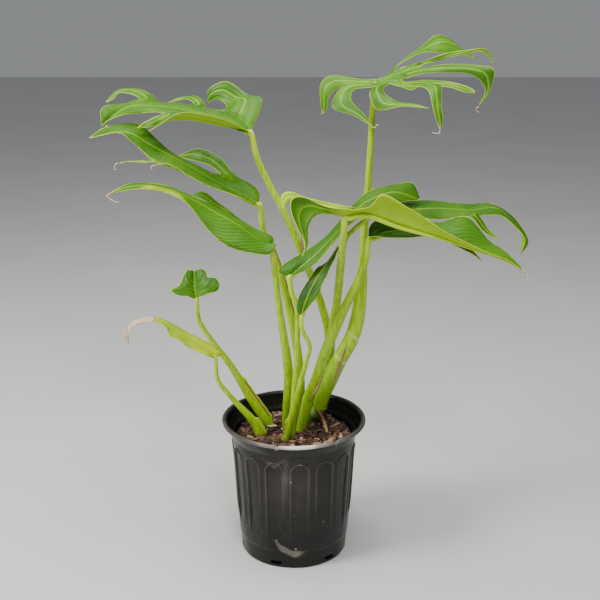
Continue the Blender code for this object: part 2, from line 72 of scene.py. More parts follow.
room = bpy.data.worlds.new("soft_room")
room.use_nodes = True
room.node_tree.nodes["Background"].inputs["Color"].default_value = (0.93, 0.96, 1.0, 1)
room.node_tree.nodes["Background"].inputs["Strength"].default_value = 0.27
bpy.context.scene.world = room

for place, turn, width, power, tint in (
    ((-1.5, -0.7, 1.7), (52, 0, -65), 0.7, 46, (1.0, 0.99, 0.94)),
    ((0.0, -0.2, 2.4), (-5, 0, 0), 1.3, 44, (1.0, 1.0, 0.97)),
    ((0.25, -1.75, 2.1), (42, 0, 8), 0.6, 32, (1.0, 0.98, 0.94)),
):
    bpy.ops.object.light_add(type="AREA", location=place, rotation=[math.radians(a) for a in turn])
    lamp = bpy.context.object.data
    lamp.size, lamp.energy, lamp.color = width, power, tint


class Signal:
    """A shader socket that Python's operators work on, each adding its Math node."""

    def __init__(self, tree, socket=None):
        self.tree, self.socket = tree, socket

    def node(self, kind, settings=None, inputs=None, output=0):
        made = self.tree.nodes.new(kind)
        for key, value in (settings or {}).items():
            if key == "stops":
                while len(made.color_ramp.elements) < len(value):
                    made.color_ramp.elements.new(0.5)
                for stop, (position, colour) in zip(made.color_ramp.elements, value):
                    stop.position, stop.color = position, (*colour, 1)
            else:
                setattr(made, key, value)
        for key, value in (inputs or {}).items():
            if isinstance(value, Signal):
                self.tree.links.new(value.socket, made.inputs[key])
            else:
                made.inputs[key].default_value = value
        return Signal(self.tree, made.outputs[output])

    def maths(self, operation, *values):
        return self.node("ShaderNodeMath", {"operation": operation}, dict(enumerate(values)))

    def __add__(self, other):
        return self.maths("ADD", self, other)

    def __sub__(self, other):
        return self.maths("SUBTRACT", self, other)

    def __rsub__(self, other):
        return self.maths("SUBTRACT", other, self)

    def __mul__(self, other):
        return self.maths("MULTIPLY", self, other)

    __radd__, __rmul__ = __add__, __mul__

    def fade(self, low, high, start=0.0, end=1.0):
        """This value mapped smoothly from low..high to start..end, and held outside."""
        return self.node("ShaderNodeMapRange", {"interpolation_type": "SMOOTHSTEP"},
                         {0: self, 1: low, 2: high, 3: start, 4: end})

    def tint(self, factor, colour):
        """This colour mixed towards another by a factor."""
        other = colour if isinstance(colour, Signal) else (*colour, 1)
        return self.node("ShaderNodeMix", {"data_type": "RGBA"}, {0: factor, 6: self, 7: other}, 2)

    def feed(self, socket):
        self.tree.links.new(self.socket, socket)


def new_finish(name):
    """A new material, its Principled shader, its start for signals, and its Object coordinates."""
    made = bpy.data.materials.new(name)
    made.use_nodes = True
    start = Signal(made.node_tree)
    place = start.node("ShaderNodeTexCoord", output=3)
    return made, made.node_tree.nodes["Principled BSDF"], start, place


def painted(start, name):
    """The values of one of the mesh's own attributes."""
    return start.node("ShaderNodeAttribute", {"attribute_name": name}, output=2)


def streaked(place, *scale):
    """A place scaled along each axis, so that noise at it runs out into streaks."""
    return place.node("ShaderNodeMapping", None, {"Vector": place, "Scale": scale})


def grain(place, scale, detail=3.0, roughness=0.5, distortion=0.0):
    """Noise of this many bumps a metre at this place."""
    return place.node("ShaderNodeTexNoise", None,
                      {"Vector": place, "Scale": scale, "Detail": detail, "Roughness": roughness,
                       "Distortion": distortion})


def relief(height, distance, strength=1.0):
    """A bump from a height signal, for a shader's Normal."""
    return height.node("ShaderNodeBump", None,
                       {"Strength": strength, "Distance": distance, "Height": height})


def plain_colour(start, colour):
    """The same colour as both ends of a mix, for later tints."""
    colour = (*colour, 1)
    return start.node("ShaderNodeMix", {"data_type": "RGBA"}, {0: 0.0, 6: colour, 7: colour}, 2)


bpy.ops.mesh.primitive_plane_add(size=16, location=(0, 0, -0.0006))
floor = bpy.context.object
floor.name = "floor"
paving, shader, start, place = new_finish("pale_floor")
cloudy = grain(place, 3.0).fade(0.3, 0.7, 0.0, 0.25)
colour = plain_colour(start, (0.62, 0.62, 0.61)).tint(cloudy, (0.50, 0.50, 0.50))
colour.feed(shader.inputs["Base Color"])
shader.inputs["Roughness"].default_value = 0.7
relief(grain(place, 60.0), 0.001, 0.2).feed(shader.inputs["Normal"])
floor.data.materials.append(paving)
floor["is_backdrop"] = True

# ---------------------------------------------------------------------------------------------
# Nursery pot: a thin can of black plastic, moulded in one shot with fifteen arched panels, a step ring
# and a rolled lip. It has been squeezed and stood on, so its wall is creased and scuffed. The lighter
# marks on its ribs, creases, wall front and lip are partly scuffs and partly painted highlights and a
# painted reflection.
MM = 0.001
pot_low, pot_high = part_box("nursery_pot")
RIM_RADIUS = (pot_high[0] - pot_low[0]) / 2
POT_HEIGHT = pot_high[2]
NECK_RADIUS, BASE_RADIUS, WALL = 0.0925, 0.081, 0.0022
STEP_HEIGHT, STEP_WIDTH = 0.186, 0.0016
HEEL_HEIGHT, HEEL_STEP = 0.028, 0.0012
LIP_HEIGHT, LIP_WIDTH = 0.006, 0.0055
COLLAR_RADIUS = RIM_RADIUS - LIP_WIDTH
PANELS, PANEL_SHARE, PANEL_DEPTH = 15, 0.62, 0.0016
PANEL_TOP, PANEL_FOOT = 0.172, 0.045
INNER_STEP_HEIGHT = 0.170
AXIS_GAP = 0.0006
PANEL_HALF = math.pi * NECK_RADIUS / PANELS * PANEL_SHARE
TURN_STEPS = 450
DRAIN_TURN = math.radians(-19)


def smooth_step(low, high, value):
    share = min(1.0, max(0.0, (value - low) / (high - low)))
    return share * share * (3 - 2 * share)


def wall_radius(z):
    """The plain outer radius under the lip, before panels and dents."""
    radius = BASE_RADIUS + (NECK_RADIUS - BASE_RADIUS) * z / STEP_HEIGHT
    radius -= HEEL_STEP * (1 - smooth_step(HEEL_HEIGHT - 0.001, HEEL_HEIGHT + 0.001, z))
    radius += STEP_WIDTH * smooth_step(STEP_HEIGHT - 0.001, STEP_HEIGHT + 0.001, z)
    collar_foot, collar_top = STEP_HEIGHT + 0.001, POT_HEIGHT - LIP_HEIGHT
    climb = min(1.0, max(0.0, (z - collar_foot) / (collar_top - collar_foot)))
    return radius + (COLLAR_RADIUS - radius) * climb


def inside_radius(z):
    """The inner radius below the panels' tops, where the mix lies against it."""
    outer = BASE_RADIUS + (NECK_RADIUS - BASE_RADIUS) * z / STEP_HEIGHT
    return outer - WALL - PANEL_DEPTH - HEEL_STEP


def inner_step(z):
    """How far the inside is stepped out above the panels, and again at the step ring."""
    return 0.003 if z > STEP_HEIGHT - 0.001 else 0.0014 if z > INNER_STEP_HEIGHT else 0.0


# Half of the can's section, from its underside out, up over the lip and down inside.
foot = wall_radius(0)
outline = [(AXIS_GAP, 0.0), (foot - 0.012, 0.0), (foot - 0.0115, 0.0012), (foot - 0.006, 0.0012),
           (foot - 0.0055, 0.0), (foot - 0.0012, 0.0)]
outline += [(wall_radius(z), z) for z in np.linspace(0.0012, 0.155, 80)]
outline += [(wall_radius(z), z) for z in np.linspace(0.156, STEP_HEIGHT - 0.0015, 32)]
outline += [(wall_radius(z), z) for z in np.linspace(STEP_HEIGHT - 0.0012, STEP_HEIGHT + 0.0012, 5)]
lip_foot = POT_HEIGHT - LIP_HEIGHT
outline += [(wall_radius(z), z) for z in np.linspace(STEP_HEIGHT + 0.003, lip_foot - 0.001, 8)]
outline += [(COLLAR_RADIUS + 0.0008, lip_foot), (RIM_RADIUS - 0.0022, lip_foot - 0.0009)]
for quarter in np.linspace(-90, 90, 9):
    outline.append((RIM_RADIUS - 0.0016 + 0.0016 * math.cos(math.radians(quarter)),
                    POT_HEIGHT - 0.0027 + 0.0027 * math.sin(math.radians(quarter))))
outline += [(RIM_RADIUS - 0.0030, POT_HEIGHT - 0.0002),
            (COLLAR_RADIUS + 0.0004, POT_HEIGHT - 0.0006),
            (COLLAR_RADIUS - WALL + 0.0008, POT_HEIGHT - 0.0016),
            (COLLAR_RADIUS - WALL, POT_HEIGHT - 0.004)]
outline += [(wall_radius(z) - WALL, z)
            for z in np.linspace(lip_foot - 0.002, STEP_HEIGHT + 0.003, 8)]
outline += [(inside_radius(z) + inner_step(z), z)
            for z in np.linspace(STEP_HEIGHT + 0.001, WALL + 0.004, 60)]
outline += [(inside_radius(WALL) - 0.003, WALL), (AXIS_GAP, WALL)]

strip = bpy.data.meshes.new("nursery_can")
strip_edges = [(i, i + 1) for i in range(len(outline) - 1)]
strip.from_pydata([(r, 0, z) for r, z in outline], strip_edges, [])
can = bpy.data.objects.new("nursery_can", strip)
bpy.context.collection.objects.link(can)
bpy.ops.object.select_all(action="DESELECT")
can.select_set(True)
bpy.context.view_layer.objects.active = can
bpy.ops.object.mode_set(mode="EDIT")
bpy.ops.mesh.select_all(action="SELECT")
bpy.ops.mesh.spin(steps=TURN_STEPS, angle=math.tau, center=(0, 0, 0), axis=(0, 0, 1))
bpy.ops.mesh.select_all(action="SELECT")
bpy.ops.mesh.remove_doubles(threshold=0.00004)
bpy.ops.mesh.select_all(action="DESELECT")
bpy.ops.mesh.select_non_manifold()
bpy.ops.mesh.edge_face_add()
bpy.ops.mesh.select_all(action="SELECT")
bpy.ops.mesh.normals_make_consistent(inside=False)
bpy.ops.object.mode_set(mode="OBJECT")

# Dents: where each is round the wall in degrees, its height, how far it runs round and up, and its
# depth. Creases: a line of angles and heights, its depth, how fast it fades above and below, and how
# much its lower side is painted lighter, a painted highlight on the ledge there with some fold
# whitening.
DENTS = [
    (-98, 0.135, 3.0, 0.045, -0.0016),
    (-112, 0.196, 8.0, 0.010, -0.0016),
    (-88, 0.150, 6.0, 0.030, 0.0016),
    (-70, 0.165, 9.0, 0.020, 0.0016),
    (-96, 0.045, 15.0, 0.020, 0.0022),
    (150, 0.120, 16.0, 0.040, 0.0024),
    (35, 0.070, 14.0, 0.030, 0.0020),
    (-140, 0.100, 10.0, 0.050, 0.0014),
]
CREASES = [
    ([(-124, 0.180), (-108, 0.173), (-93, 0.189)], 0.0034, 0.0016, 0.016, 0.10),
    ([(-117, 0.054), (-104, 0.036), (-90, 0.027), (-73, 0.029)], 0.0040, 0.022, 0.0080, 0.28),
    ([(70, 0.150), (95, 0.158), (112, 0.150)], 0.0026, 0.0020, 0.016, 0.25),
]
# This attribute holds how much lighter the wall is painted: real scuffs, and painted highlights and a
# painted reflection where light falls on the ribs, creases, wall front and lip.
wear = can.data.attributes.new("wear", "FLOAT", "POINT")
for vertex in can.data.vertices:
    x, y, z = vertex.co
    radius, angle = math.hypot(x, y), math.degrees(math.atan2(y, x))
    if radius < 0.02:
        continue
    outer = radius > wall_radius(z) - WALL * 0.5 and z < lip_foot - 0.002
    push, scuff_and_highlight = 0.0, 0.0
    if outer and 0.001 < z < STEP_HEIGHT:
        turn = (math.radians(angle) * PANELS / math.tau) % 1 - 0.5
        across = turn * 2 / PANEL_SHARE * PANEL_HALF
        outside = math.hypot(across, max(0.0, z - (PANEL_TOP - PANEL_HALF))) - PANEL_HALF
        inside = 1 - smooth_step(-0.0010, 0.0008, outside)
        push += PANEL_DEPTH * inside * smooth_step(PANEL_FOOT, 0.065, z)
        rib = math.exp(-((outside - 0.0015) / 0.0011) ** 2)
        push -= 0.0015 * rib * smooth_step(PANEL_FOOT, 0.075, z)
        # The panel ribs are painted a little lighter: dust on them and painted highlight outlining the
        # arches.
        scuff_and_highlight += 0.14 * rib * smooth_step(0.065, 0.140, z)
        # A broad lighter patch high on the front of the wall is a painted warm reflection.
        scuff_and_highlight += 0.060 * math.exp(-((angle + 90) / 26) ** 2 - ((z - 0.135) / 0.050) ** 2)
        # A narrow upright band beside the fold at -97 degrees is a painted highlight.
        scuff_and_highlight += 0.14 * math.exp(-((angle + 97) / 2.2) ** 2 - ((z - 0.152) / 0.028) ** 2)
    if z < lip_foot + 0.004 and radius > inside_radius(z) - 0.004:
        rim_hold = 1 - smooth_step(POT_HEIGHT - 0.022, POT_HEIGHT - 0.004, z)
        give = (1.0 if outer else 0.6) * rim_hold
        for middle, height, spread, rise, depth in DENTS:
            off = (angle - middle + 180) % 360 - 180
            push += depth * give * math.exp(-(off / spread) ** 2 - ((z - height) / rise) ** 2)
        for knots, depth, above, below, whitening_and_highlight in CREASES:
            first, last = knots[0][0], knots[-1][0]
            if first < angle < last:
                off = z - float(np.interp(angle, [k[0] for k in knots], [k[1] for k in knots]))
                ends = smooth_step(0, 14, angle - first) * smooth_step(0, 14, last - angle)
                push += depth * give * ends * math.exp(-(off / (above if off > 0 else below)) ** 2)
                # Below each crease line the wall is painted lighter: a painted highlight on the ledge
                # there, with some fold whitening.
                lower_side = smooth_step(-0.010 * ends, -0.008 * ends, off) * (off < 0)
                scuff_and_highlight += whitening_and_highlight * outer * ends * lower_side
        push += 0.0007 * noise.noise(Vector((x, y, z * 0.6)) * 30)
    scale = (radius - push) / radius
    lift = 0.0
    if z > lip_foot - 0.003:
        lift = -0.0012 * (0.5 + 0.5 * noise.noise(Vector((x, y, 0)) * 26)) - 0.0020 * (
            math.exp(-((angle + 103) / 1.3) ** 2) + math.exp(-((angle + 55) / 1.3) ** 2))
        scale *= 1 - 0.006 * (0.5 + 0.5 * noise.noise(Vector((x, y, 0.4)) * 22))
    if z > lip_foot + 0.001 and radius > RIM_RADIUS - 0.0030:
        # The lip is a little lighter all round from scuffs, and much lighter at its front: a painted
        # highlight with some scuffing.
        scuff_and_highlight = 0.16 + 0.90 * math.exp(-((angle + 84) / 26) ** 2)
    wear.data[vertex.index].value = scuff_and_highlight * (0.75 + 0.35 * noise.noise(Vector((x, y, z)) * 60))
    vertex.co = (x * scale, y * scale, z + lift)

# Six slots at the foot of the wall drain it.
DRAIN_HOLES, DRAIN_SILL, DRAIN_TOP, DRAIN_WIDTH = 6, 0.0045, 0.010, 0.016
for hole in range(DRAIN_HOLES):
    turn = math.tau * (hole + 0.5) / DRAIN_HOLES + DRAIN_TURN
    bpy.ops.mesh.primitive_cube_add(
        size=1, rotation=(0, 0, turn), scale=(0.02, DRAIN_WIDTH, DRAIN_TOP - DRAIN_SILL),
        location=(BASE_RADIUS * math.cos(turn), BASE_RADIUS * math.sin(turn),
                  (DRAIN_SILL + DRAIN_TOP) / 2))
    cutter = bpy.context.object
    cut = can.modifiers.new("slot", "BOOLEAN")
    cut.object, cut.operation = cutter, "DIFFERENCE"
    bpy.context.view_layer.objects.active = can
    bpy.ops.object.modifier_apply(modifier="slot")
    bpy.data.objects.remove(cutter, do_unlink=True)
bpy.ops.object.select_all(action="DESELECT")
can.select_set(True)
bpy.ops.object.shade_smooth_by_angle(angle=math.radians(50))

plastic, shader, start, place = new_finish("black_moulded_plastic")
cloudy = grain(place, 24.0, 5.0, 0.6)
fine = grain(place, 420.0, 3.0, 0.7)
streaks = grain(streaked(place, 1.0, 1.0, 0.14), 130.0, 4.0, 0.6)
specks = grain(place, 150.0, 2.0, 0.4)
dusty = cloudy.fade(0.48, 0.72) * fine.fade(0.42, 0.68)
colour = plain_colour(start, (0.005, 0.0045, 0.004)).tint(dusty * 0.5, (0.045, 0.039, 0.031))
colour = colour.tint(streaks.fade(0.62, 0.76) * 0.25, (0.060, 0.055, 0.048))
colour = colour.tint(specks.fade(0.74, 0.80) * 0.6, (0.34, 0.33, 0.31))
# These tints paint the marked places lighter: real scuffs, and painted highlights and a painted
# reflection.
scuffs_and_highlights = painted(start, "wear")
colour = colour.tint(scuffs_and_highlights * fine.fade(0.15, 0.50, 0.5, 1.0), (0.50, 0.45, 0.39))
colour = colour.tint(scuffs_and_highlights.fade(0.45, 0.90) * 0.7, (0.82, 0.80, 0.77))
colour.feed(shader.inputs["Base Color"])
(0.27 + dusty * 0.28 + streaks.fade(0.5, 0.75) * 0.10).feed(shader.inputs["Roughness"])
shader.inputs["Specular IOR Level"].default_value = 0.28
relief(grain(place, 70.0, 2.0) * 0.8 + fine * 0.06, 0.0009, 0.6).feed(shader.inputs["Normal"])
can.data.materials.append(plastic)
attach(can, "root")
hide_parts("nursery_pot")

# ---------------------------------------------------------------------------------------------
# Potting mix: composted bark and coir, tipped in loose, so its top is a rough heap of chips with a
# few white grains of perlite. The plug under it fills the pot.
SOIL_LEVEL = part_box("potting_mix")[1][2]
SOIL_RADIUS = inside_radius(SOIL_LEVEL) - 0.0006
CHIPS = 1400
dice = random.Random(11)


def mound(x, y):
    """How far the mix is heaped up here against the feet of the stems."""
    feet = ((18, 68), (4, 44), (-12, 22), (-33, 18), (-49, -14), (30, 58), (40, 68), (-3, -14),
            (10, 6), (25, 42))
    return 0.004 * max(math.exp(-((x - a * MM) ** 2 + (y - b * MM) ** 2) / 0.0002) for a, b in feet)


def heave(x, y):
    """How far the loose top of the mix stands above its level here."""
    return 0.004 * noise.noise(Vector((x, y, 0)) * 34) + mound(x, y)


bpy.ops.object.select_all(action="DESELECT")
bpy.ops.mesh.primitive_cylinder_add(vertices=96, radius=SOIL_RADIUS, depth=SOIL_LEVEL - 0.004,
                                    location=(0, 0, (SOIL_LEVEL + 0.004) / 2))
plug = bpy.context.object
plug.name = "mix_plug"
bpy.ops.object.transform_apply(location=True)
bpy.ops.object.mode_set(mode="EDIT")
shape = bmesh.from_edit_mesh(plug.data)
for face in shape.faces:
    face.select_set(abs(face.normal.z) > 0.9 and face.calc_center_median().z > SOIL_LEVEL - 0.001)
bmesh.update_edit_mesh(plug.data)
for _ in range(14):
    bpy.ops.mesh.inset(thickness=SOIL_RADIUS / 15)
bpy.ops.object.mode_set(mode="OBJECT")
for vertex in plug.data.vertices:
    x, y, z = vertex.co
    narrowing = 0.005 * smooth_step(0.0, 0.02, SOIL_LEVEL - 0.004 - z)
    taper = (inside_radius(z) - 0.0006 - narrowing) / SOIL_RADIUS
    heap = 0.0
    if z > SOIL_LEVEL - 0.001:
        heap = heave(x, y) + 0.002 * noise.noise(Vector((x, y, 3)) * 120) - 0.002
    vertex.co = (x * taper, y * taper, z + heap)


def chip_mesh(shape, dice, centre, size, tint, layer):
    """One broken chip: a small block with its corners knocked about, turned its own way."""
    corners = bmesh.ops.create_icosphere(shape, subdivisions=1, radius=1.0)["verts"]
    stretch = [dice.uniform(0.7, 2.0), dice.uniform(0.35, 0.8), dice.uniform(0.12, 0.40)]
    stretch = Vector(stretch) * size
    turn = Matrix.Rotation(dice.uniform(0, math.tau), 3, "Z")
    turn = turn @ Matrix.Rotation(dice.gauss(0, 0.6), 3, "X")
    for corner in corners:
        knocked = corner.co * dice.uniform(0.75, 1.25)
        corner.co = turn @ (knocked * stretch) + centre
        corner[layer] = tint


heap_shape = bmesh.new()
heap_shape.from_mesh(plug.data)
tint_layer = heap_shape.verts.layers.float.new("tint")
for vertex in heap_shape.verts:
    vertex[tint_layer] = 0.12
for number in range(CHIPS):
    spin, reach = dice.uniform(0, math.tau), SOIL_RADIUS * math.sqrt(dice.random()) * 0.97
    x, y = reach * math.cos(spin), reach * math.sin(spin)
    size = min(0.0075, max(0.0012, dice.lognormvariate(-5.85, 0.60)))
    kind = dice.random()
    tint = dice.uniform(0.0, 0.42) if kind < 0.80 else dice.uniform(0.4, 0.85)
    if kind > 0.985:
        tint, size = 1.0, dice.uniform(0.0010, 0.0019)
    height = SOIL_LEVEL + heave(x, y) + dice.uniform(-0.0016, 0.0034)
    reach_limit = SOIL_RADIUS - size * 1.9
    if reach > reach_limit:
        x, y = x * reach_limit / reach, y * reach_limit / reach
    chip_mesh(heap_shape, dice, Vector((x, y, height)), size, tint, tint_layer)
heap_shape.to_mesh(plug.data)
heap_shape.free()

mix, shader, start, place = new_finish("bark_and_coir")
tint = painted(start, "tint")
colour = tint.node("ShaderNodeValToRGB", {"stops": [
    (0.0, (0.018, 0.009, 0.006)), (0.25, (0.085, 0.038, 0.022)), (0.5, (0.22, 0.105, 0.058)),
    (0.8, (0.50, 0.32, 0.19)), (0.95, (0.75, 0.72, 0.66))]}, {0: tint})
fibres = grain(streaked(place, 1.0, 0.3, 1.0), 900.0, 4.0, 0.7)
colour = colour.tint(fibres.fade(0.42, 0.65) * 0.5, (0.035, 0.018, 0.011))
colour.feed(shader.inputs["Base Color"])
(0.75 + fibres * 0.3).feed(shader.inputs["Roughness"])
relief(fibres, 0.0008, 0.8).feed(shader.inputs["Normal"])
plug.data.materials.append(mix)
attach(plug, "root")
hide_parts("potting_mix")

# ---------------------------------------------------------------------------------------------
# Bark chips: the largest pieces of the mix, lying loose on top. Each is a split flake of pine
# bark with a layered, broken edge.
bark, shader, start, place = new_finish("pine_bark")
layers = grain(streaked(place, 0.35, 1.0, 2.4), 420.0, 5.0, 0.65)
patches = grain(place, 150.0, 3.0)
colour = plain_colour(start, (0.20, 0.105, 0.06)).tint(layers.fade(0.4, 0.62), (0.36, 0.23, 0.14))
colour = colour.tint(patches.fade(0.5, 0.7) * 0.8, (0.09, 0.045, 0.03))
colour.feed(shader.inputs["Base Color"])
(0.7 + layers * 0.25).feed(shader.inputs["Roughness"])
relief(layers, 0.0009, 0.9).feed(shader.inputs["Normal"])

for number in range(1, 9):
    low, high = (Vector(corner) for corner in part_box(f"bark_chip_{number}"))
    bpy.ops.object.select_all(action="DESELECT")
    bpy.ops.mesh.primitive_cube_add(size=1.0, location=(low + high) / 2, scale=(high - low) * 0.94)
    flake = bpy.context.object
    flake.name = f"bark_flake_{number}"
    bpy.ops.object.transform_apply(location=True, scale=True)
    bpy.ops.object.mode_set(mode="EDIT")
    bpy.ops.mesh.select_all(action="SELECT")
    bpy.ops.mesh.bevel(offset=0.0012, segments=1, affect="EDGES")
    bpy.ops.mesh.select_all(action="SELECT")
    bpy.ops.mesh.subdivide(number_cuts=4)
    bpy.ops.object.mode_set(mode="OBJECT")
    middle = (low + high) / 2
    for vertex in flake.data.vertices:
        away = vertex.co - middle
        rough = noise.noise(vertex.co * 160 + Vector((number, 0, 0))) * 0.30
        steps = 0.14 * round(noise.noise(vertex.co * 320) * 2) / 2
        squeeze = 1 - 0.30 * abs(away.x / max(high.x - low.x, 1e-6) * 2) ** 2
        vertex.co = middle + Vector((away.x, away.y * squeeze, away.z)) * (0.92 + rough + steps)
    bpy.ops.object.shade_smooth_by_angle(angle=math.radians(30))
    flake.data.materials.append(bark)
    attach(flake, "root")
    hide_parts(f"bark_chip_{number}")

# ---------------------------------------------------------------------------------------------
# Rootstock and aerial root: the short green-grey stem that the large leaves grow from, ringed with
# the scars of old leaves, and the one brown root that it sends down into the mix.


def at(point):
    return Vector(point) * MM


def smooth_curve(points, steps):
    """Evenly spaced points on the smooth curve that passes through the given ones."""
    knots = [Vector(p) for p in points]
    ends = [2 * knots[0] - knots[1], *knots, 2 * knots[-1] - knots[-2]]
    dense = []
    for a, b, c, d in zip(ends, ends[1:], ends[2:], ends[3:]):
        for i in range(24):
            t = i / 24
            dense.append(
                0.5 * (2 * b + (c - a) * t + (2 * a - 5 * b + 4 * c - d) * t * t
                       + (3 * b - a - 3 * c + d) * t ** 3)
            )
    dense.append(knots[-1])
    lengths = np.cumsum([0.0] + [(q - p).length for p, q in zip(dense, dense[1:])])
    even = np.linspace(0, lengths[-1], steps + 1)
    columns = [np.interp(even, lengths, [p[axis] for p in dense]) for axis in range(3)]
    return [Vector(p) for p in zip(*columns)]


def tube(name, line, radius_at, sides, paint):
    """A closed tube along a line. radius_at(share, angle) gives its radius, and paint(share, angle)
    the values of its attributes by name."""
    points, faces, values = [], [], []
    steps = len(line) - 1
    side = Vector((1, 0, 0))
    for i, place in enumerate(line):
        along = (line[min(i + 1, steps)] - line[max(i - 1, 0)]).normalized()
        side = (side - along * side.dot(along)).normalized()
        other = along.cross(side)
        for s in range(sides):
            angle = math.tau * s / sides
            radius = radius_at(i / steps, angle)
            points.append(place + (side * math.cos(angle) + other * math.sin(angle)) * radius)
            values.append(paint(i / steps, angle))
    for i in range(steps):
        for s in range(sides):
            beside = (s + 1) % sides
            here, above = i * sides, (i + 1) * sides
            faces.append((here + s, here + beside, above + beside, above + s))
    for ring, flip in ((0, True), (steps, False)):
        points.append(line[ring])
        values.append(paint(ring / steps, 0.0))
        for s in range(sides):
            pair = (ring * sides + s, ring * sides + (s + 1) % sides)
            faces.append((*(reversed(pair) if flip else pair), len(points) - 1))
    mesh = bpy.data.meshes.new(name)
    mesh.from_pydata(points, [], faces)
    for key in values[0]:
        layer = mesh.attributes.new(key, "FLOAT", "POINT")
        layer.data.foreach_set("value", [value[key] for value in values])
    mesh.shade_smooth()
    made = bpy.data.objects.new(name, mesh)
    bpy.context.collection.objects.link(made)
    return made


stem_skin, shader, start, place = new_finish("rootstock_skin")
band = painted(start, "band")
blotch = grain(place, 130.0, 4.0, 0.6)
colour = plain_colour(start, (0.10, 0.23, 0.020))
colour = colour.tint(blotch.fade(0.4, 0.65) * 0.5, (0.20, 0.32, 0.09))
colour = colour.tint(band, (0.14, 0.075, 0.035))
colour.feed(shader.inputs["Base Color"])
(0.5 + blotch * 0.3).feed(shader.inputs["Roughness"])
relief(blotch + grain(place, 700.0) * 0.4, 0.0008, 0.6).feed(shader.inputs["Normal"])

root_skin, shader, start, place = new_finish("aerial_root_skin")
high = painted(start, "band")
scurf = grain(place, 500.0, 4.0, 0.7)
colour = plain_colour(start, (0.50, 0.32, 0.17)).tint(high.fade(0.35, 0.75), (0.13, 0.06, 0.03))
colour = colour.tint(scurf.fade(0.5, 0.7) * 0.6, (0.22, 0.12, 0.06))
colour.feed(shader.inputs["Base Color"])
shader.inputs["Roughness"].default_value = 0.85
relief(scurf, 0.0008, 0.8).feed(shader.inputs["Normal"])


STOCK_ROUTE = [(24, 45, 176), (27, 35, 197), (33, 25, 206), (40, 20, 217), (43, 19, 226)]
STOCK_SCARS = (0.22, 0.42, 0.60, 0.78)
ROOT_ROUTE = [(51, -1, 174), (50, 1, 184), (46, 5, 196), (40, 10, 209), (36, 14, 212)]


def stock_radius(share, angle):
    scar = sum(math.exp(-((share - mark) / 0.018) ** 2) for mark in STOCK_SCARS)
    rough = 0.6 * noise.noise(Vector((math.cos(angle), math.sin(angle), share * 5)) * 1.6)
    return (8.6 + 0.8 * math.sin(share * math.pi) + 0.8 * scar + rough) * MM


def stock_paint(share, angle):
    return {"band": max(math.exp(-((share - mark) / 0.012) ** 2) for mark in STOCK_SCARS)}


def root_radius(share, angle):
    return (2.0 + 1.0 * share + 0.35 * noise.noise(Vector((angle, share * 9, 0)))) * MM


stock_line = smooth_curve([at(p) for p in STOCK_ROUTE], 60)
stock = tube("rootstock_stem", stock_line, stock_radius, 28, stock_paint)
stock.data.materials.append(stem_skin)
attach(stock, "root")
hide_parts("rootstock")

root_line = smooth_curve([at(p) for p in ROOT_ROUTE], 50)
root = tube("aerial_root_spike", root_line, root_radius, 14, lambda share, angle: {"band": share})
root.data.materials.append(root_skin)
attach(root, "root")
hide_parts("aerial_root")

# ---------------------------------------------------------------------------------------------
# Leaf skins: a blade is thin and waxy, deep green above with pale veins and a yellow margin, and a
# brighter, duller yellow-green below. Old tips dry to tan paper. A stalk is smooth and yellow-green.
# Attributes of a blade: vein, in twelfths of its length; margin and rib, the distances to the edge and
# the nearest rib in millimetres; dry, tone (0 dark, 1 yellow) and under. A low tone is partly the
# blade's own deeper green and partly painted shade.
VEINS_PER_TWELFTH = 1.5

blade_skin, shader, start, place = new_finish("leaf_blade")
vein, margin, rib, dry, tone, under = (
    painted(start, name) for name in ("vein", "margin", "rib", "dry", "tone", "under"))
patches, fine = grain(place, 18.0, 4.0, 0.6), grain(place, 260.0, 4.0, 0.6)
turned = (vein + grain(place, 12.0, 0.0) * 0.4) * (VEINS_PER_TWELFTH * math.tau)
wave = turned.maths("COSINE", turned)
lines = wave.fade(0.80, 1.0) * patches.fade(0.30, 0.60, 0.35, 1.0)
# A low tone darkens the whole top of a blade: partly its own deeper green and partly painted shade.
top = plain_colour(start, (0.012, 0.056, 0.002)).tint(tone.fade(0.0, 0.5), (0.056, 0.188, 0.003))
top = top.tint(tone.fade(0.5, 1.0), (0.54, 0.68, 0.008))
# Large soft patches paint the top lighter and darker: painted light and shade over the green, with some
# real mottling.
top = top.tint(patches.fade(0.42, 0.68) * 0.50, (0.110, 0.290, 0.005))
top = top.tint(patches.fade(0.50, 0.28) * 0.45, (0.018, 0.080, 0.002))
top = top.tint(wave.fade(-1.0, 0.6, 0.20, 0.0), (0.018, 0.078, 0.002))
top = top.tint(lines * 0.18, (0.20, 0.42, 0.015))
top = top.tint(rib.fade(0.3, 1.5, 0.52, 0.0), (0.33, 0.54, 0.020))
# The underside's bright yellow-green is partly its own paler colour and partly painted glow of light
# shining through the blade.
low = plain_colour(start, (0.180, 0.360, 0.001)).tint(tone.fade(0.1, 0.9), (0.62, 0.90, 0.002))
low = low.tint(lines * 0.20, (0.42, 0.60, 0.015))
low = low.tint(rib.fade(0.5, 2.4, 0.5, 0.0), (0.50, 0.70, 0.020))
colour = top.tint(under, low)
colour = colour.tint(margin.fade(0.30, 1.00, 0.80, 0.0), (0.56, 0.72, 0.040))
dead = plain_colour(start, (0.50, 0.36, 0.22)).tint(fine.fade(0.3, 0.7), (0.72, 0.58, 0.42))
dead = dead.tint(dry.fade(0.22, 0.50, 0.85, 0.0), (0.26, 0.11, 0.04))
colour = colour.tint((dry + patches * 0.25 - 0.12).fade(0.16, 0.30), dead)
colour.feed(shader.inputs["Base Color"])
(0.38 + under * 0.14 + dry * 0.4 + fine * 0.10 + wave * 0.02).feed(shader.inputs["Roughness"])
shader.inputs["Specular IOR Level"].default_value = 0.24
relief(wave * -0.35 + fine * 0.10 + dry * fine * 2.0, 0.0006, 0.6).feed(shader.inputs["Normal"])

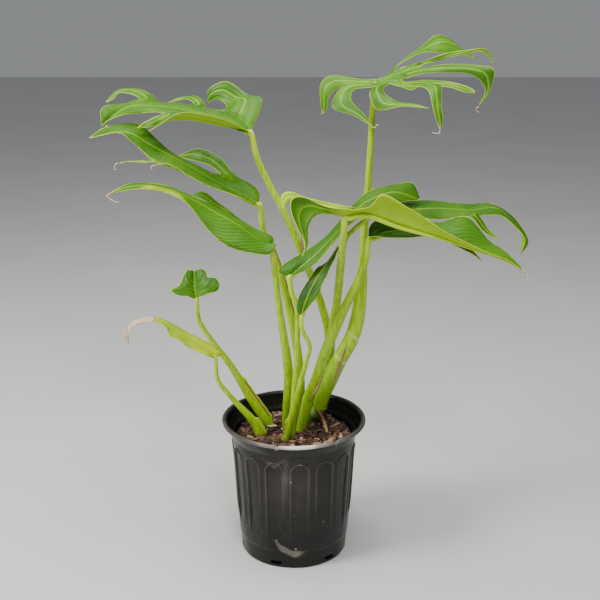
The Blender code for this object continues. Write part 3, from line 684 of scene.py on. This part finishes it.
# A stalk's attributes: share, how far up it is; tone; scab, where its sheath died back; ring, the
# scars that run round it; and pale, the paler joint under the blade and the sheath's soft edge.
stalk_skin, shader, start, place = new_finish("leaf_stalk")
share, scab, tone, ring, pale = (
    painted(start, name) for name in ("share", "scab", "tone", "ring", "pale"))
streaks = grain(streaked(place, 1.0, 1.0, 0.06), 420.0, 4.0, 0.6)
specks = grain(place, 520.0, 3.0, 0.6)
colour = plain_colour(start, (0.085, 0.235, 0.001)).tint(tone, (0.56, 0.80, 0.002))
colour = colour.tint(streaks.fade(0.42, 0.62) * 0.55, (0.105, 0.270, 0.003))
# Darker green towards each stalk's foot: painted shade low among the stems.
colour = colour.tint(share.fade(0.02, 0.30, 0.60, 0.0), (0.095, 0.250, 0.012))
colour = colour.tint(pale, (0.60, 0.76, 0.045)).tint(ring * 0.7, (0.62, 0.74, 0.26))
colour = colour.tint(specks.fade(0.64, 0.76) * 0.30, (0.50, 0.64, 0.16))
colour = colour.tint((scab + specks * 0.5 - 0.25).fade(0.25, 0.75), (0.24, 0.075, 0.030))
colour.feed(shader.inputs["Base Color"])
shader.inputs["Specular IOR Level"].default_value = 0.32
(0.32 + streaks * 0.14 + scab * 0.35).feed(shader.inputs["Roughness"])
relief(streaks + specks * 0.2 - ring, 0.0005, 0.5).feed(shader.inputs["Normal"])

# ---------------------------------------------------------------------------------------------
# Leaves: each is one grown piece. The stalk rises from the mix, thick and half sheathed at its
# foot, and runs on below the blade as its midrib. The blade is two halves cut into finger lobes.
TWELFTHS = 12
FINE = 10
HALF_COLUMNS = 8
LOBE_ROWS = 34
HALF_CROWN, LOBE_CROWN = 0.10, 0.10
BLADE_THICKNESS = 0.0008
VEIN_SLANT = 4.6
VEINED_LENGTH = 0.20
RIPPLE = 0.0006
STALK_SIDES = 36
STALK_STEPS = 200


# A blade's tone is partly painted shade: blades deep among the others are set lower and darker.
def grow_blade(name, midrib, left, right, lobes, tone=0.4, dry_spots=(), turned=(), threads=(),
               yellow_spots=()):
    """A blade on the same curves as its CAD sheet, at a finer step, with its attributes. Turned
    lists the lobes that twist over, so that their upper side is the one below. Threads are dry
    tips, each a line of points. A spot, dry or yellow, is a point and its reach in mm. Returns the
    midrib's points and the directions below them, for the stalk."""
    steps = TWELFTHS * FINE
    middle = smooth_curve([at(p) for p in midrib], steps)
    points, faces, veins = list(middle), [], [k / FINE for k in range(steps + 1)]
    ribs, edges, below = list(middle), {}, []
    for side, sign in ((left, 1), (right, -1)):
        edge = smooth_curve([middle[0], *[at(p) for p in side], middle[-1]], steps)
        rows = []
        for k in range(steps + 1):
            across = edge[k] - middle[k]
            along = middle[min(k + 1, steps)] - middle[max(k - 1, 0)]
            up = along.cross(across) * sign
            up = up.normalized() if up.length > 0 else Vector()
            if sign == 1:
                below.append(-up)
            else:
                below[k] = (below[k] - up).normalized() if (below[k] - up).length > 0 else below[k]
            if k in (0, steps):
                rows.append([k] * (HALF_COLUMNS + 1))
                continue
            row = [k]
            for c in range(1, HALF_COLUMNS + 1):
                out = c / HALF_COLUMNS
                vein = k / FINE - VEIN_SLANT * out ** 1.25
                rise = HALF_CROWN * across.length * math.sin(math.pi * out)
                rise += RIPPLE * out * math.sin(vein * 2.3 + sign)
                rise -= 0.0005 * math.exp(-(across.length * out / 0.0025) ** 2)
                points.append(middle[k] + across * out + up * rise)
                veins.append(vein)
                row.append(len(points) - 1)
            rows.append(row)
        for k in range(steps):
            for c in range(HALF_COLUMNS):
                corners = (rows[k][c], rows[k + 1][c], rows[k + 1][c + 1], rows[k][c + 1])
                corners = tuple(dict.fromkeys(corners))
                if len(corners) > 2:
                    faces.append(corners[::sign])
        edges["left" if sign == 1 else "right"] = [row[-1] for row in rows]
    twisted = [0.0] * len(points)
    for number, (side, begin, end, first, second, tip) in enumerate(lobes):
        base = edges[side][begin * FINE:end * FINE + 1]
        known = len(points)
        grow_lobe(points, faces, veins, ribs, base, first, second, tip, 1 if side == "left" else -1)
        for i in range(known, len(points)):
            out = (i - known) / (len(points) - known)
            twisted.append(smooth_step(0.0, 0.25, out) if number in turned else 0.0)
    mesh = bpy.data.meshes.new(name)
    mesh.from_pydata(points, [], faces)
    sheet = bpy.data.objects.new(name, mesh)
    bpy.context.collection.objects.link(sheet)
    mesh.shade_smooth()

    shape = bmesh.new()
    shape.from_mesh(mesh)
    rim = [[end.co.copy() for end in edge.verts] for edge in shape.edges if edge.is_boundary]
    shape.free()
    margin_tree, rib_tree = KDTree(len(rim) * 3), KDTree(len(ribs) * 2)
    for i, (a, b) in enumerate(rim):
        for part in range(3):
            margin_tree.insert(a.lerp(b, part / 3), i)
    margin_tree.balance()
    for i, place in enumerate(ribs):
        rib_tree.insert(place, i)
        joined = i and (place - ribs[i - 1]).length < 0.006
        rib_tree.insert((place + ribs[i - 1]) / 2 if joined else place, i)
    rib_tree.balance()
    spots = [(at(spot[:3]), spot[3] * MM) for spot in dry_spots]
    density = 0.3 + 0.7 * sum((b - a).length for a, b in zip(middle, middle[1:])) / VEINED_LENGTH
    paint = {"vein": [vein * density for vein in veins]}
    paint["tone"] = [tone] * len(points)
    paint["under"] = [0.0] * len(points)
    paint["margin"] = [margin_tree.find(p)[2] / MM for p in points]
    paint["rib"] = [rib_tree.find(p)[2] / MM for p in points]
    for x, y, z, reach in yellow_spots:
        for i, point in enumerate(points):
            near = 1 - smooth_step(reach * 0.4 * MM, reach * MM, (point - at((x, y, z))).length)
            paint["tone"][i] += (0.85 - paint["tone"][i]) * near
    paint["dry"] = [max([0.0] + [1 - (p - spot).length / reach for spot, reach in spots])
                    for p in points]
    for key, values in paint.items():
        mesh.attributes.new(key, "FLOAT", "POINT").data.foreach_set("value", values)

    wall = sheet.modifiers.new("thickness", "SOLIDIFY")
    wall.thickness, wall.offset = BLADE_THICKNESS, 0
    bpy.ops.object.select_all(action="DESELECT")
    sheet.select_set(True)
    bpy.context.view_layer.objects.active = sheet
    bpy.ops.object.modifier_apply(modifier="thickness")
    sides = twisted + [1 - turn for turn in twisted]
    sheet.data.attributes["under"].data.foreach_set("value", sides)
    sheet.data.materials.append(blade_skin)
    for route in threads:
        dead = {"vein": 0.0, "tone": tone, "under": 0.0, "margin": 9.0, "rib": 9.0, "dry": 0.8}
        thread = tube("thread", smooth_curve([at(p) for p in route], 16),
                      lambda share, angle: (0.75 - 0.3 * share) * MM, 8, lambda share, angle: dead)
        thread.data.materials.append(blade_skin)
        thread.select_set(True)
    bpy.ops.object.join()
    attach(sheet, "root")
    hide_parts(name.replace("leaf_", "blade_"))
    return middle, below


def grow_lobe(points, faces, veins, ribs, base, first, second, tip, sign):
    """Rows of points from part of a blade's edge out to a lobe's tip."""
    tip = at(tip)
    start, end = points[base[0]], points[base[-1]]
    edge_a = smooth_curve([start, *[at(p) for p in first], tip], LOBE_ROWS)
    edge_b = smooth_curve([end, *[at(p) for p in second], tip], LOBE_ROWS)
    wide = len(base) - 1
    bulge = [points[b] - start.lerp(end, c / wide) for c, b in enumerate(base)]
    last = base
    for r in range(1, LOBE_ROWS):
        span = edge_b[r] - edge_a[r]
        along = (edge_a[r + 1] + edge_b[r + 1]) - (edge_a[r - 1] + edge_b[r - 1])
        up = span.cross(along) * sign
        up = up.normalized() if up.length > 0 else Vector()
        fade = (1 - r / LOBE_ROWS) ** 2
        row = []
        for c in range(wide + 1):
            out = c / wide
            rise = LOBE_CROWN * span.length * math.sin(math.pi * out)
            rise += RIPPLE * (2 * out - 1) * math.sin(r * 0.45 + out * 2)
            rise -= 0.0005 * math.exp(-(span.length * (out - 0.5) / 0.002) ** 2)
            points.append(edge_a[r].lerp(edge_b[r], out) + bulge[c] * fade + up * rise)
            veins.append(veins[base[c]])
            row.append(len(points) - 1)
        ribs.append(points[row[wide // 2]])
        for c in range(wide):
            corners = (last[c], last[c + 1], row[c + 1], row[c])
            faces.append(corners[::sign])
        last = row
    points.append(tip)
    veins.append(veins[base[wide // 2]])
    for c in range(wide):
        faces.append((last[c], last[c + 1], len(points) - 1)[::sign])


def grow_stalk(name, route, radii, midrib, below, wings=(), scabs=(), rings=(), tone=0.6, run=0.8,
               foot=0.85):
    """A stalk from below the mix's top to its blade, then on below the blade as a fading midrib.
    Angles are in degrees round it, 0 at +X. A wing is what is left of the sheath: its angle, the
    shares of the stalk where it starts and ends, and its width in mm. A scab is an angle, two
    shares and a spread, and a ring is a share. The foot is the share of the radius left at the very
    bottom, and run is how far along the blade its midrib shows."""
    path = [at(route[0]) - Vector((0, 0, 0.008)), *[at(p) for p in route[:-1]], midrib[0]]
    line = smooth_curve(path, STALK_STEPS)
    keel_count = int(len(midrib) * run)
    for k in range(3, keel_count, 3):
        fade = 1 - k / keel_count
        line.append(midrib[k] + below[k] * (radii[-1] * 0.80 * fade ** 0.8 + 0.15) * MM)
    stalk_share = STALK_STEPS / (len(line) - 1)
    marks = np.linspace(0, 1, len(radii))

    def beside(angle, degrees, spread):
        turn = angle - math.radians(degrees)
        return math.exp(-(math.atan2(math.sin(turn), math.cos(turn)) / spread) ** 2)

    def within(climb, low_end, high_end):
        return smooth_step(low_end - 0.01, low_end + 0.02, climb) * (
            1 - smooth_step(high_end - 0.02, high_end + 0.01, climb))

    def radius_at(share, angle):
        climb = min(1.0, share / stalk_share)
        if share > stalk_share:
            fade = 1 - (share - stalk_share) / (1 - stalk_share)
            return (radii[-1] * 0.85 * fade ** 0.8 + 0.25) * MM
        radius = float(np.interp(climb, marks, radii))
        radius *= (1 + 0.05 * math.cos(angle * 2) * (1 - climb)
                   + 0.06 * math.exp(-((climb - 0.96) / 0.03) ** 2))
        radius *= 1 + 0.03 * noise.noise(Vector((math.cos(angle), math.sin(angle), climb * 14)))
        radius *= foot + (1 - foot) * smooth_step(0.0, 0.12, climb)
        for mark in rings:
            radius -= 0.35 * math.exp(-((climb - mark) / 0.004) ** 2)
        for degrees, low_end, high_end, width in wings:
            ragged = 0.8 + 0.4 * noise.noise(Vector((climb * 40, degrees, 0)))
            radius += (width * beside(angle, degrees, 0.24) * within(climb, low_end, high_end)
                       * ragged)
        return radius * MM

    def paint(share, angle):
        climb = min(1.0, share / stalk_share)
        slant = climb + 0.008 * math.cos(angle)
        return {
            "share": climb,
            "tone": tone,
            "scab": max([0.0] + [beside(angle, side, spread) * within(climb, low_end, high_end)
                                 for side, low_end, high_end, spread in scabs]),
            "ring": max([0.0] + [math.exp(-((slant - mark) / 0.004) ** 2) for mark in rings]),
            "pale": max([0.45 * smooth_step(0.90, 0.95, climb)]
                        + [0.8 * beside(angle, side, 0.16) * within(climb, low_end, high_end)
                           for side, low_end, high_end, _ in wings]),
        }

    made = tube(name, line, radius_at, STALK_SIDES, paint)
    made.data.materials.append(stalk_skin)
    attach(made, "root")
    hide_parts(name.replace("stalk_", "petiole_"))


# ---------------------------------------------------------------------------------------------
# Top left leaf: the second largest, on a long stalk near the top of the plant. Its near half hangs
# down and shows the underside, and its far half is slit into three long lobes.
middle, below = grow_blade(
    "leaf_top_left",
    [(-59, 20, 631), (-93, 15, 650), (-136, 10, 660), (-183, 5, 668), (-226, 0, 668), (-263, -5, 643)],
    [(-74, 5, 635), (-120, -8, 650), (-174, -10, 661), (-222, -10, 660), (-253, -8, 651)],
    [(-78, 35, 649), (-123, 30, 663), (-178, 22, 672), (-228, 12, 672), (-261, 2, 667)],
    [("right", 0, 3, [(-44, 50, 671), (-66, 60, 679), (-95, 70, 696), (-121, 75, 685)],
      [(-94, 52, 662), (-102, 62, 669), (-112, 70, 671)], (-124, 76, 665)),
     ("right", 4, 5, [(-123, 40, 665), (-131, 50, 673), (-143, 60, 677), (-159, 68, 674),
       (-175, 78, 668)],
      [(-140, 42, 666), (-145, 50, 671), (-156, 60, 672), (-168, 70, 669)], (-189, 85, 663)),
     ("right", 7, 9, [(-187, 36, 671), (-200, 44, 680), (-213, 50, 686), (-228, 53, 688),
       (-245, 52, 686), (-255, 44, 680)],
      [(-216, 36, 675), (-228, 42, 681), (-241, 46, 683), (-248, 42, 680),
       (-251, 34, 675)], (-261, 26, 672)),
     ("left", 0, 2, [(-89, -18, 651), (-124, -40, 664), (-152, -55, 665)],
      [(-125, -20, 650), (-160, -36, 655)], (-192, -62, 643)),
     ("left", 6, 7, [(-174, -18, 652), (-191, -26, 645)],
      [(-189, -20, 656), (-202, -28, 650)], (-210, -34, 644))],
    tone=0.34,
    dry_spots=[(-261, 26, 672, 6)],
    threads=[
        [(-255, -14, 645), (-252, -16, 642)],
    ],
)
grow_stalk(
    "stalk_top_left",
    [(18, 68, 182), (34, 62, 230), (48, 56, 290), (52, 52, 325), (37, 42, 384), (9, 32, 461),
     (-15, 25, 519), (-32, 22, 552), (-51, 20, 595), (-59, 20, 631)],
    [7, 6, 5.5, 5, 4], middle, below,
    tone=0.8,
)

# ---------------------------------------------------------------------------------------------
# Middle left leaf: a narrow blade that climbs to the left, its far half slit into one long lobe.
# Its margin is pale, and thin strips of its near half end in dry threads.
middle, below = grow_blade(
    "leaf_mid_left",
    [(-47, 5, 531), (-100, 2, 560), (-154, -5, 593), (-197, -10, 618), (-229, -15, 636),
     (-278, -20, 629)],
    [(-73, -12, 544), (-129, -20, 568), (-155, -22, 584), (-189, -24, 597), (-217, -22, 622),
     (-239, -22, 636)],
    [(-50, 20, 548), (-70, 28, 561), (-96, 25, 563), (-132, 20, 582), (-167, 14, 601), (-192, 8, 625),
     (-216, 2, 645), (-255, -8, 642)],
    [("right", 2, 4, [(-88, 45, 570), (-108, 60, 590), (-139, 75, 599)],
      [(-104, 40, 568), (-122, 52, 579), (-142, 65, 583)], (-174, 90, 585)),
     ("left", 5, 6, [(-165, -28, 592), (-177, -32, 595)],
      [(-171, -28, 594), (-181, -32, 596)], (-191, -36, 593)),
     ("left", 7, 8, [(-181, -28, 597), (-201, -36, 598), (-220, -43, 600)],
      [(-195, -28, 599), (-207, -36, 600), (-222, -43, 601)], (-235, -48, 599))],
    tone=0.37,
    dry_spots=[(-278, -20, 629, 8)],
    threads=[
        [(-189, -36, 594), (-192, -37, 593), (-192, -37, 589), (-190, -36, 588)],
        [(-235, -48, 599), (-239, -49, 597), (-240, -49, 591), (-236, -48, 590)],
    ],
)
grow_stalk(
    "stalk_mid_left",
    [(4, 44, 182), (10, 40, 240), (5, 34, 303), (-3, 30, 351), (-17, 26, 414), (-31, 22, 461),
     (-43, 16, 490), (-47, 5, 530)],
    [6.5, 6.5, 6, 4.5, 4], middle, below,
    tone=0.72, wings=[(-15, 0.5, 0.83, 1.6)], scabs=[(-25, 0.5, 0.82, 0.16)],
)

# ---------------------------------------------------------------------------------------------
# Lower left leaf: an almost whole blade with its top towards the viewer and a narrow lobe behind.
# Towards its tip, two spots on its near half are given a yellower tone, where the real tip rolls over
# and shows the yellow-green underside.
middle, below = grow_blade(
    "leaf_low_left",
    [(-30, -25, 474), (-55, -28, 492), (-79, -30, 511), (-111, -32, 530), (-145, -35, 550),
     (-181, -40, 565), (-221, -45, 567), (-253, -50, 556)],
    [(-22, -36, 482), (-35, -44, 471), (-65, -52, 477), (-92, -54, 487), (-115, -52, 506),
     (-144, -48, 543), (-180, -48, 561), (-221, -50, 563)],
    [(-29, -12, 488), (-54, -8, 500), (-83, -8, 516), (-105, -12, 531), (-132, -20, 544),
     (-146, -28, 553), (-182, -36, 568), (-221, -43, 570)],
    [("right", 3, 4, [(-94, 12, 523), (-110, 20, 533), (-129, 28, 545)],
      [(-101, 8, 521), (-116, 14, 529), (-133, 22, 536)], (-150, 32, 539))],
    tone=0.42,
    dry_spots=[(-253, -50, 556, 9)],
    yellow_spots=[(-165, -56, 553, 30), (-192, -56, 558, 26)],
    threads=[
        [(-253, -50, 556), (-248, -51, 551), (-241, -52, 547), (-235, -52, 547)],
    ],
)
grow_stalk(
    "stalk_low_left",
    [(-12, 22, 182), (-8, 12, 253), (-10, 2, 300), (-17, -8, 356), (-22, -15, 399), (-26, -20, 435),
     (-30, -25, 473)],
    [7.5, 7, 6, 4.5, 4], middle, below,
    tone=0.66, wings=[(-35, 0.02, 0.5, 1.2)], scabs=[(-28, 0.04, 0.5, 0.14)],
)

# ---------------------------------------------------------------------------------------------
# Small fan leaf: a young, short blade, spread open like a fan, on a stalk with a broad sheath whose
# edge has dried.
middle, below = grow_blade(
    "leaf_small_fan",
    [(-140, 0, 393), (-143, 6, 411), (-144, 14, 431)],
    [(-152, -4, 398), (-165, -6, 401), (-177, -6, 408), (-166, -2, 413), (-161, 4, 422),
     (-155, 10, 433), (-150, 13, 433)],
    [(-135, -4, 398), (-123, -6, 403), (-111, -6, 407), (-106, -4, 416), (-112, 2, 424), (-123, 4, 425),
     (-128, 10, 433), (-137, 13, 435)],
    [],
    tone=0.44,
)
grow_stalk(
    "stalk_small_fan",
    [(-33, 18, 182), (-47, 18, 204), (-70, 16, 242), (-95, 12, 288), (-120, 8, 326), (-138, 4, 360),
     (-140, 0, 391)],
    [8, 7, 5, 3.5, 3], middle, below,
    tone=0.66, wings=[(10, 0.08, 0.42, 3.4)], scabs=[(-14, 0.1, 0.4, 0.2)], foot=0.55,
)

# ---------------------------------------------------------------------------------------------
# Yellowing leaf: the oldest and lowest on the left. The blade has turned yellow-green, and its tip
# has died back to a pale, papery curl.
middle, below = grow_blade(
    "leaf_yellowing",
    [(-112, -30, 315), (-134, -33, 333), (-157, -36, 351), (-181, -38, 368), (-207, -40, 375),
     (-231, -44, 368), (-234, -48, 341)],
    [(-122, -40, 320), (-147, -42, 332), (-160, -44, 344), (-175, -45, 352), (-181, -45, 366),
     (-202, -46, 374), (-226, -46, 367), (-234, -48, 353)],
    [(-101, -22, 318), (-127, -24, 337), (-164, -28, 359), (-186, -30, 373), (-206, -34, 377),
     (-229, -40, 371), (-238, -46, 354)],
    [],
    tone=0.93,
    dry_spots=[(-207, -40, 375, 16), (-220, -43, 372, 22), (-232, -46, 358, 22), (-234, -48, 341, 22)],
)
grow_stalk(
    "stalk_yellowing",
    [(-49, -14, 182), (-56, -15, 202), (-69, -18, 221), (-92, -24, 251), (-110, -28, 280),
     (-112, -30, 313)],
    [8, 6, 4, 3, 2.6], middle, below,
    tone=0.66, wings=[(0, 0.04, 0.25, 3.6)], foot=0.5,
)

# ---------------------------------------------------------------------------------------------
# Top right leaf: the largest and newest, on the thick stalk that carries on from the rootstock. Its
# blade is slit to the stalk into eight long lobes, which arch over and hang.
middle, below = grow_blade(
    "leaf_top_right",
    [(111, 0, 699), (139, 8, 710), (160, 14, 718), (179, 20, 724)],
    [(108, 6, 701), (116, 9, 705), (130, 13, 710), (146, 17, 718), (163, 20, 723)],
    [(109, -6, 699), (117, -12, 697), (131, -12, 701), (145, -4, 707), (162, 10, 715)],
    [("left", 3, 6, [(130, 14, 711), (143, 30, 721), (160, 45, 733), (177, 58, 743), (192, 70, 755),
       (204, 78, 760), (222, 80, 754), (236, 76, 743)],
      [(147, 26, 724), (165, 34, 733), (181, 38, 738), (205, 44, 738), (234, 56, 734)], (260, 70, 729)),
     ("left", 10, 12, [(202, 30, 735), (223, 34, 740), (244, 36, 742), (262, 40, 744), (274, 42, 736)],
      [(202, 28, 729), (223, 32, 734), (241, 34, 737), (258, 38, 740), (272, 41, 732)], (281, 44, 722)),
     ("left", 0, 2, [(75, 8, 696), (59, 12, 691), (49, 14, 679), (47, 16, 665)],
      [(81, 20, 705), (52, 25, 708), (38, 25, 697), (38, 20, 675)], (40, 18, 656)),
     ("right", 0, 2, [(70, -10, 697), (55, -20, 682), (54, -30, 669), (81, -40, 661)],
      [(86, -14, 694), (78, -20, 686), (80, -28, 677), (93, -36, 664)], (108, -48, 647)),
     ("right", 2, 4, [(104, -30, 694), (102, -45, 685), (112, -55, 671), (144, -65, 676)],
      [(120, -28, 696), (123, -42, 689), (136, -52, 682), (156, -62, 679)], (180, -70, 675)),
     ("right", 4, 5, [(142, -30, 699), (156, -44, 695), (166, -60, 702), (175, -74, 698),
       (178, -82, 687), (182, -84, 671)],
      [(149, -28, 702), (167, -44, 705), (192, -60, 703), (192, -74, 695), (192, -84, 677),
       (194, -84, 661)], (191, -82, 647)),
     ("right", 5, 7, [(150, -22, 698), (169, -34, 699), (194, -46, 700), (208, -54, 699),
       (222, -62, 695)],
      [(150, -16, 704), (176, -26, 706), (200, -44, 707), (218, -56, 704),
       (231, -63, 700)], (239, -68, 694)),
     ("right", 8, 10, [(151, -6, 707), (170, -14, 713), (196, -22, 716), (222, -30, 717),
       (240, -34, 713), (252, -34, 702), (256, -30, 690)],
      [(158, 2, 717), (178, -6, 722), (203, -16, 726), (228, -26, 727), (251, -34, 726),
       (265, -38, 722), (265, -34, 705), (260, -30, 687)], (248, -26, 670))],
    tone=0.43,
    dry_spots=[(191, -82, 647, 9), (248, -26, 670, 5)],
    threads=[
        [(105, -48, 647), (109, -50, 647), (111, -50, 650), (114, -50, 651)],
        [(250, -26, 671), (246, -26, 670), (247, -26, 666), (250, -26, 664)],
        [(191, -82, 647), (190, -82, 644), (185, -82, 644), (181, -82, 645)],
        [(43, 18, 659), (38, 18, 656)],
    ],
)
grow_stalk(
    "stalk_top_right",
    [(40, 20, 221), (46, 18, 244), (66, 16, 290), (88, 14, 335), (97, 12, 388), (100, 11, 449),
     (102, 10, 511), (106, 8, 580), (109, 2, 664), (110, 0, 698)],
    [10, 12, 11, 10.5, 8.5, 6, 5, 4.8, 4.5, 4.2, 4], middle, below,
    tone=0.72, scabs=[(-60, 0.175, 0.187, 0.9)], rings=[0.18, 0.265], foot=1.0,
)

# ---------------------------------------------------------------------------------------------
# Centre right leaf: a long blade that falls away to the right, its near half showing the bright
# underside, with two narrow lobes curling over to the left of its stalk. Its tip is dry.
middle, below = grow_blade(
    "leaf_centre_right",
    [(70, -60, 528), (98, -68, 535), (144, -74, 519), (200, -78, 503), (244, -80, 487), (289, -80, 470),
     (316, -80, 455)],
    [(91, -52, 538), (147, -48, 529), (196, -46, 517), (237, -42, 523), (269, -54, 493),
     (292, -66, 478)],
    [(80, -78, 541), (102, -90, 549), (118, -100, 566), (152, -100, 549), (191, -98, 523),
     (241, -92, 495), (288, -84, 474)],
    [("left", 0, 1, [(20, -64, 547), (1, -70, 553), (-8, -74, 550)],
      [(25, -62, 553), (-4, -68, 564), (-16, -72, 558)], (-13, -78, 541)),
     ("right", 0, 1, [(47, -75, 535), (31, -82, 535), (21, -90, 522), (20, -96, 498)],
      [(43, -75, 546), (16, -85, 560), (-1, -92, 560), (-3, -96, 544), (7, -98, 520),
       (16, -98, 500)], (12, -98, 483))],
    tone=0.44,
    dry_spots=[(316, -80, 455, 14), (12, -98, 483, 7)],
    turned=(0, 1),
    threads=[
        [(314, -80, 458), (318, -80, 453), (319, -80, 447), (316, -80, 443)],
        [(15, -98, 489), (12, -98, 483)],
    ],
)
grow_stalk(
    "stalk_centre_right",
    [(30, 58, 182), (41, 47, 223), (49, 36, 266), (54, 22, 309), (57, 4, 353), (62, -14, 396),
     (66, -40, 461), (69, -52, 499), (70, -60, 526)],
    [6.5, 6, 5.5, 5, 4.5], middle, below,
    tone=0.62,
)

# ---------------------------------------------------------------------------------------------
# Right leaf: a flat, level blade behind the centre right one, bending down at its far end.
middle, below = grow_blade(
    "leaf_right",
    [(106, -30, 521), (148, -20, 527), (198, -10, 529), (249, 0, 524), (289, 5, 525), (322, 5, 494),
     (325, 0, 460)],
    [(129, 5, 526), (153, 20, 532), (197, 25, 532), (249, 22, 528), (281, 16, 530), (312, 10, 512),
     (335, 6, 480)],
    [(147, -34, 522), (203, -24, 517), (243, -20, 520), (277, -12, 520), (300, -8, 513),
     (327, -3, 485)],
    [("right", 6, 7, [(247, -28, 519), (268, -30, 497)],
      [(257, -22, 524), (271, -24, 503)], (288, -30, 490))],
    tone=0.33,
    dry_spots=[(325, 0, 460, 7)],
    threads=[
        [(323, 0, 463), (319, 0, 460)],
    ],
)
grow_stalk(
    "stalk_right",
    [(40, 68, 182), (49, 54, 230), (56, 42, 276), (60, 30, 337), (66, 13, 389), (69, -6, 439),
     (72, -20, 483), (84, -26, 502), (105, -30, 520)],
    [4.5, 4, 3.6, 3.4, 3.2], middle, below,
    tone=0.66,
)

# ---------------------------------------------------------------------------------------------
# Centre long leaf: a narrow blade that climbs to the right through the middle of the plant, yellow
# green at its foot and deep green behind.
middle, below = grow_blade(
    "leaf_centre_long",
    [(-6, -45, 439), (16, -45, 458), (38, -42, 477), (65, -36, 506), (84, -30, 528), (106, -24, 544),
     (141, -15, 553), (178, -8, 540)],
    [(-20, -38, 444), (-12, -34, 455), (20, -28, 474), (47, -24, 493), (66, -20, 516), (89, -16, 541),
     (109, -10, 555), (149, 0, 562), (168, 2, 561)],
    [(5, -54, 445), (34, -56, 464), (53, -52, 487), (77, -44, 512), (94, -38, 524), (117, -32, 540),
     (148, -22, 541)],
    [],
    tone=0.3,
    dry_spots=[(178, -8, 540, 5)],
)
grow_stalk(
    "stalk_centre_long",
    [(-3, -14, 182), (-1, -18, 227), (2, -24, 271), (5, -32, 323), (5, -42, 391), (-2, -44, 414),
     (-6, -45, 437)],
    [5.5, 4.5, 4, 3.6, 3.5], middle, below,
    tone=0.76,
)

# ---------------------------------------------------------------------------------------------
# Centre small leaf: a narrow young blade on a thin bent stalk, with a short sheath at its foot. Its
# dark tone is partly its own deep green and partly painted shade.
middle, below = grow_blade(
    "leaf_centre_small",
    [(11, -60, 386), (18, -58, 410), (30, -54, 435), (44, -48, 456), (55, -42, 470), (62, -38, 483)],
    [(5, -54, 394), (8, -48, 412), (22, -44, 435), (34, -40, 451), (48, -38, 459)],
    [(19, -66, 399), (33, -66, 416), (44, -60, 441), (52, -52, 455), (62, -42, 476)],
    [],
    tone=0.05,
)
grow_stalk(
    "stalk_centre_small",
    [(-12, -25, 182), (1, -32, 240), (11, -42, 284), (19, -52, 319), (23, -56, 341), (12, -60, 368),
     (11, -60, 384)],
    [6, 4.5, 3.6, 3, 2.8], middle, below,
    tone=0.7, wings=[(200, 0.03, 0.22, 3.0)], scabs=[(205, 0.05, 0.18, 0.12)],
)

# ---------------------------------------------------------------------------------------------
# Front leaf: a plain, uncut blade behind the others, low, on the thick stalk in front. Its dark tone is
# partly its own deep green and partly painted shade.
middle, below = grow_blade(
    "leaf_front",
    [(104, -32, 491), (142, -25, 500), (193, -18, 497), (235, -12, 480), (268, -10, 453)],
    [(107, -20, 506), (120, -14, 513), (150, -5, 510), (195, -2, 500), (242, -6, 478)],
    [(114, -44, 497), (141, -46, 495), (191, -34, 494), (218, -22, 482), (247, -14, 467)],
    [],
    tone=0.12,
    dry_spots=[(268, -10, 453, 6)],
    threads=[
        [(265, -10, 454), (266, -10, 451)],
    ],
)
grow_stalk(
    "stalk_front",
    [(10, 6, 182), (21, -2, 237), (34, -10, 275), (47, -20, 322), (62, -28, 363), (76, -32, 397),
     (89, -34, 426), (100, -34, 458), (104, -32, 489)],
    [9, 8, 7.5, 6, 4], middle, below,
    tone=0.55, scabs=[(185, 0.03, 0.2, 0.16)],
)
# ---------------------------------------------------------------------------------------------
# Dry sheaths: dead sheaths that once wrapped the young leaves, left as thin brown curls of papery
# skin against the stalks.
papery, shader, start, place = new_finish("papery_skin")
fibres = grain(streaked(place, 1.0, 1.0, 0.12), 900.0, 4.0, 0.7)
colour = plain_colour(start, (0.42, 0.27, 0.15)).tint(fibres.fade(0.4, 0.62), (0.16, 0.08, 0.04))
colour.feed(shader.inputs["Base Color"])
shader.inputs["Roughness"].default_value = 0.75
relief(fibres, 0.0006, 0.8).feed(shader.inputs["Normal"])

for name, route, width in (
    ("dry_sheath_left", [(10, 18, 484), (14, 19, 462), (20, 20, 440)], 2.4),
    ("dry_sheath_right", [(77, -3, 324), (67, -4, 290), (57, -4, 264)], 2.8),
    ("dry_sheath_low", [(42, -24, 285), (34, -22, 262), (22, -18, 245)], 2.8),
):
    line = smooth_curve([at(p) for p in route], 48)
    columns = 10
    curl = bmesh.new()
    rows = []
    for i, place_on_line in enumerate(line):
        share = i / 48
        spread = width * MM * (0.25 + 0.75 * math.sin(math.pi * min(1.0, share * 1.05 + 0.02)))
        row = []
        for c in range(columns + 1):
            angle = math.radians(-150 + 250 * c / columns + 25 * math.sin(share * 9))
            ragged = 1 + 0.25 * noise.noise(Vector((share * 8, c * 0.6, width)))
            offset = Vector((math.cos(angle), math.sin(angle), 0)) * spread * ragged * 0.7
            row.append(curl.verts.new(place_on_line + offset))
        rows.append(row)
    for low_row, high_row in zip(rows, rows[1:]):
        for c in range(columns):
            curl.faces.new((low_row[c], low_row[c + 1], high_row[c + 1], high_row[c]))
    mesh = bpy.data.meshes.new(name + "_curl")
    curl.to_mesh(mesh)
    curl.free()
    mesh.shade_smooth()
    sheath = bpy.data.objects.new(name + "_curl", mesh)
    bpy.context.collection.objects.link(sheath)
    wall = sheath.modifiers.new("thickness", "SOLIDIFY")
    wall.thickness = 0.0003
    bpy.ops.object.select_all(action="DESELECT")
    sheath.select_set(True)
    bpy.context.view_layer.objects.active = sheath
    bpy.ops.object.modifier_apply(modifier="thickness")
    mesh.materials.append(papery)
    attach(sheath, "root")
    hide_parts(name)

# ---------------------------------------------------------------------------------------------
low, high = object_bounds()
{"cad": [list(cad_low), list(cad_high)], "visual": [list(low), list(high)]}
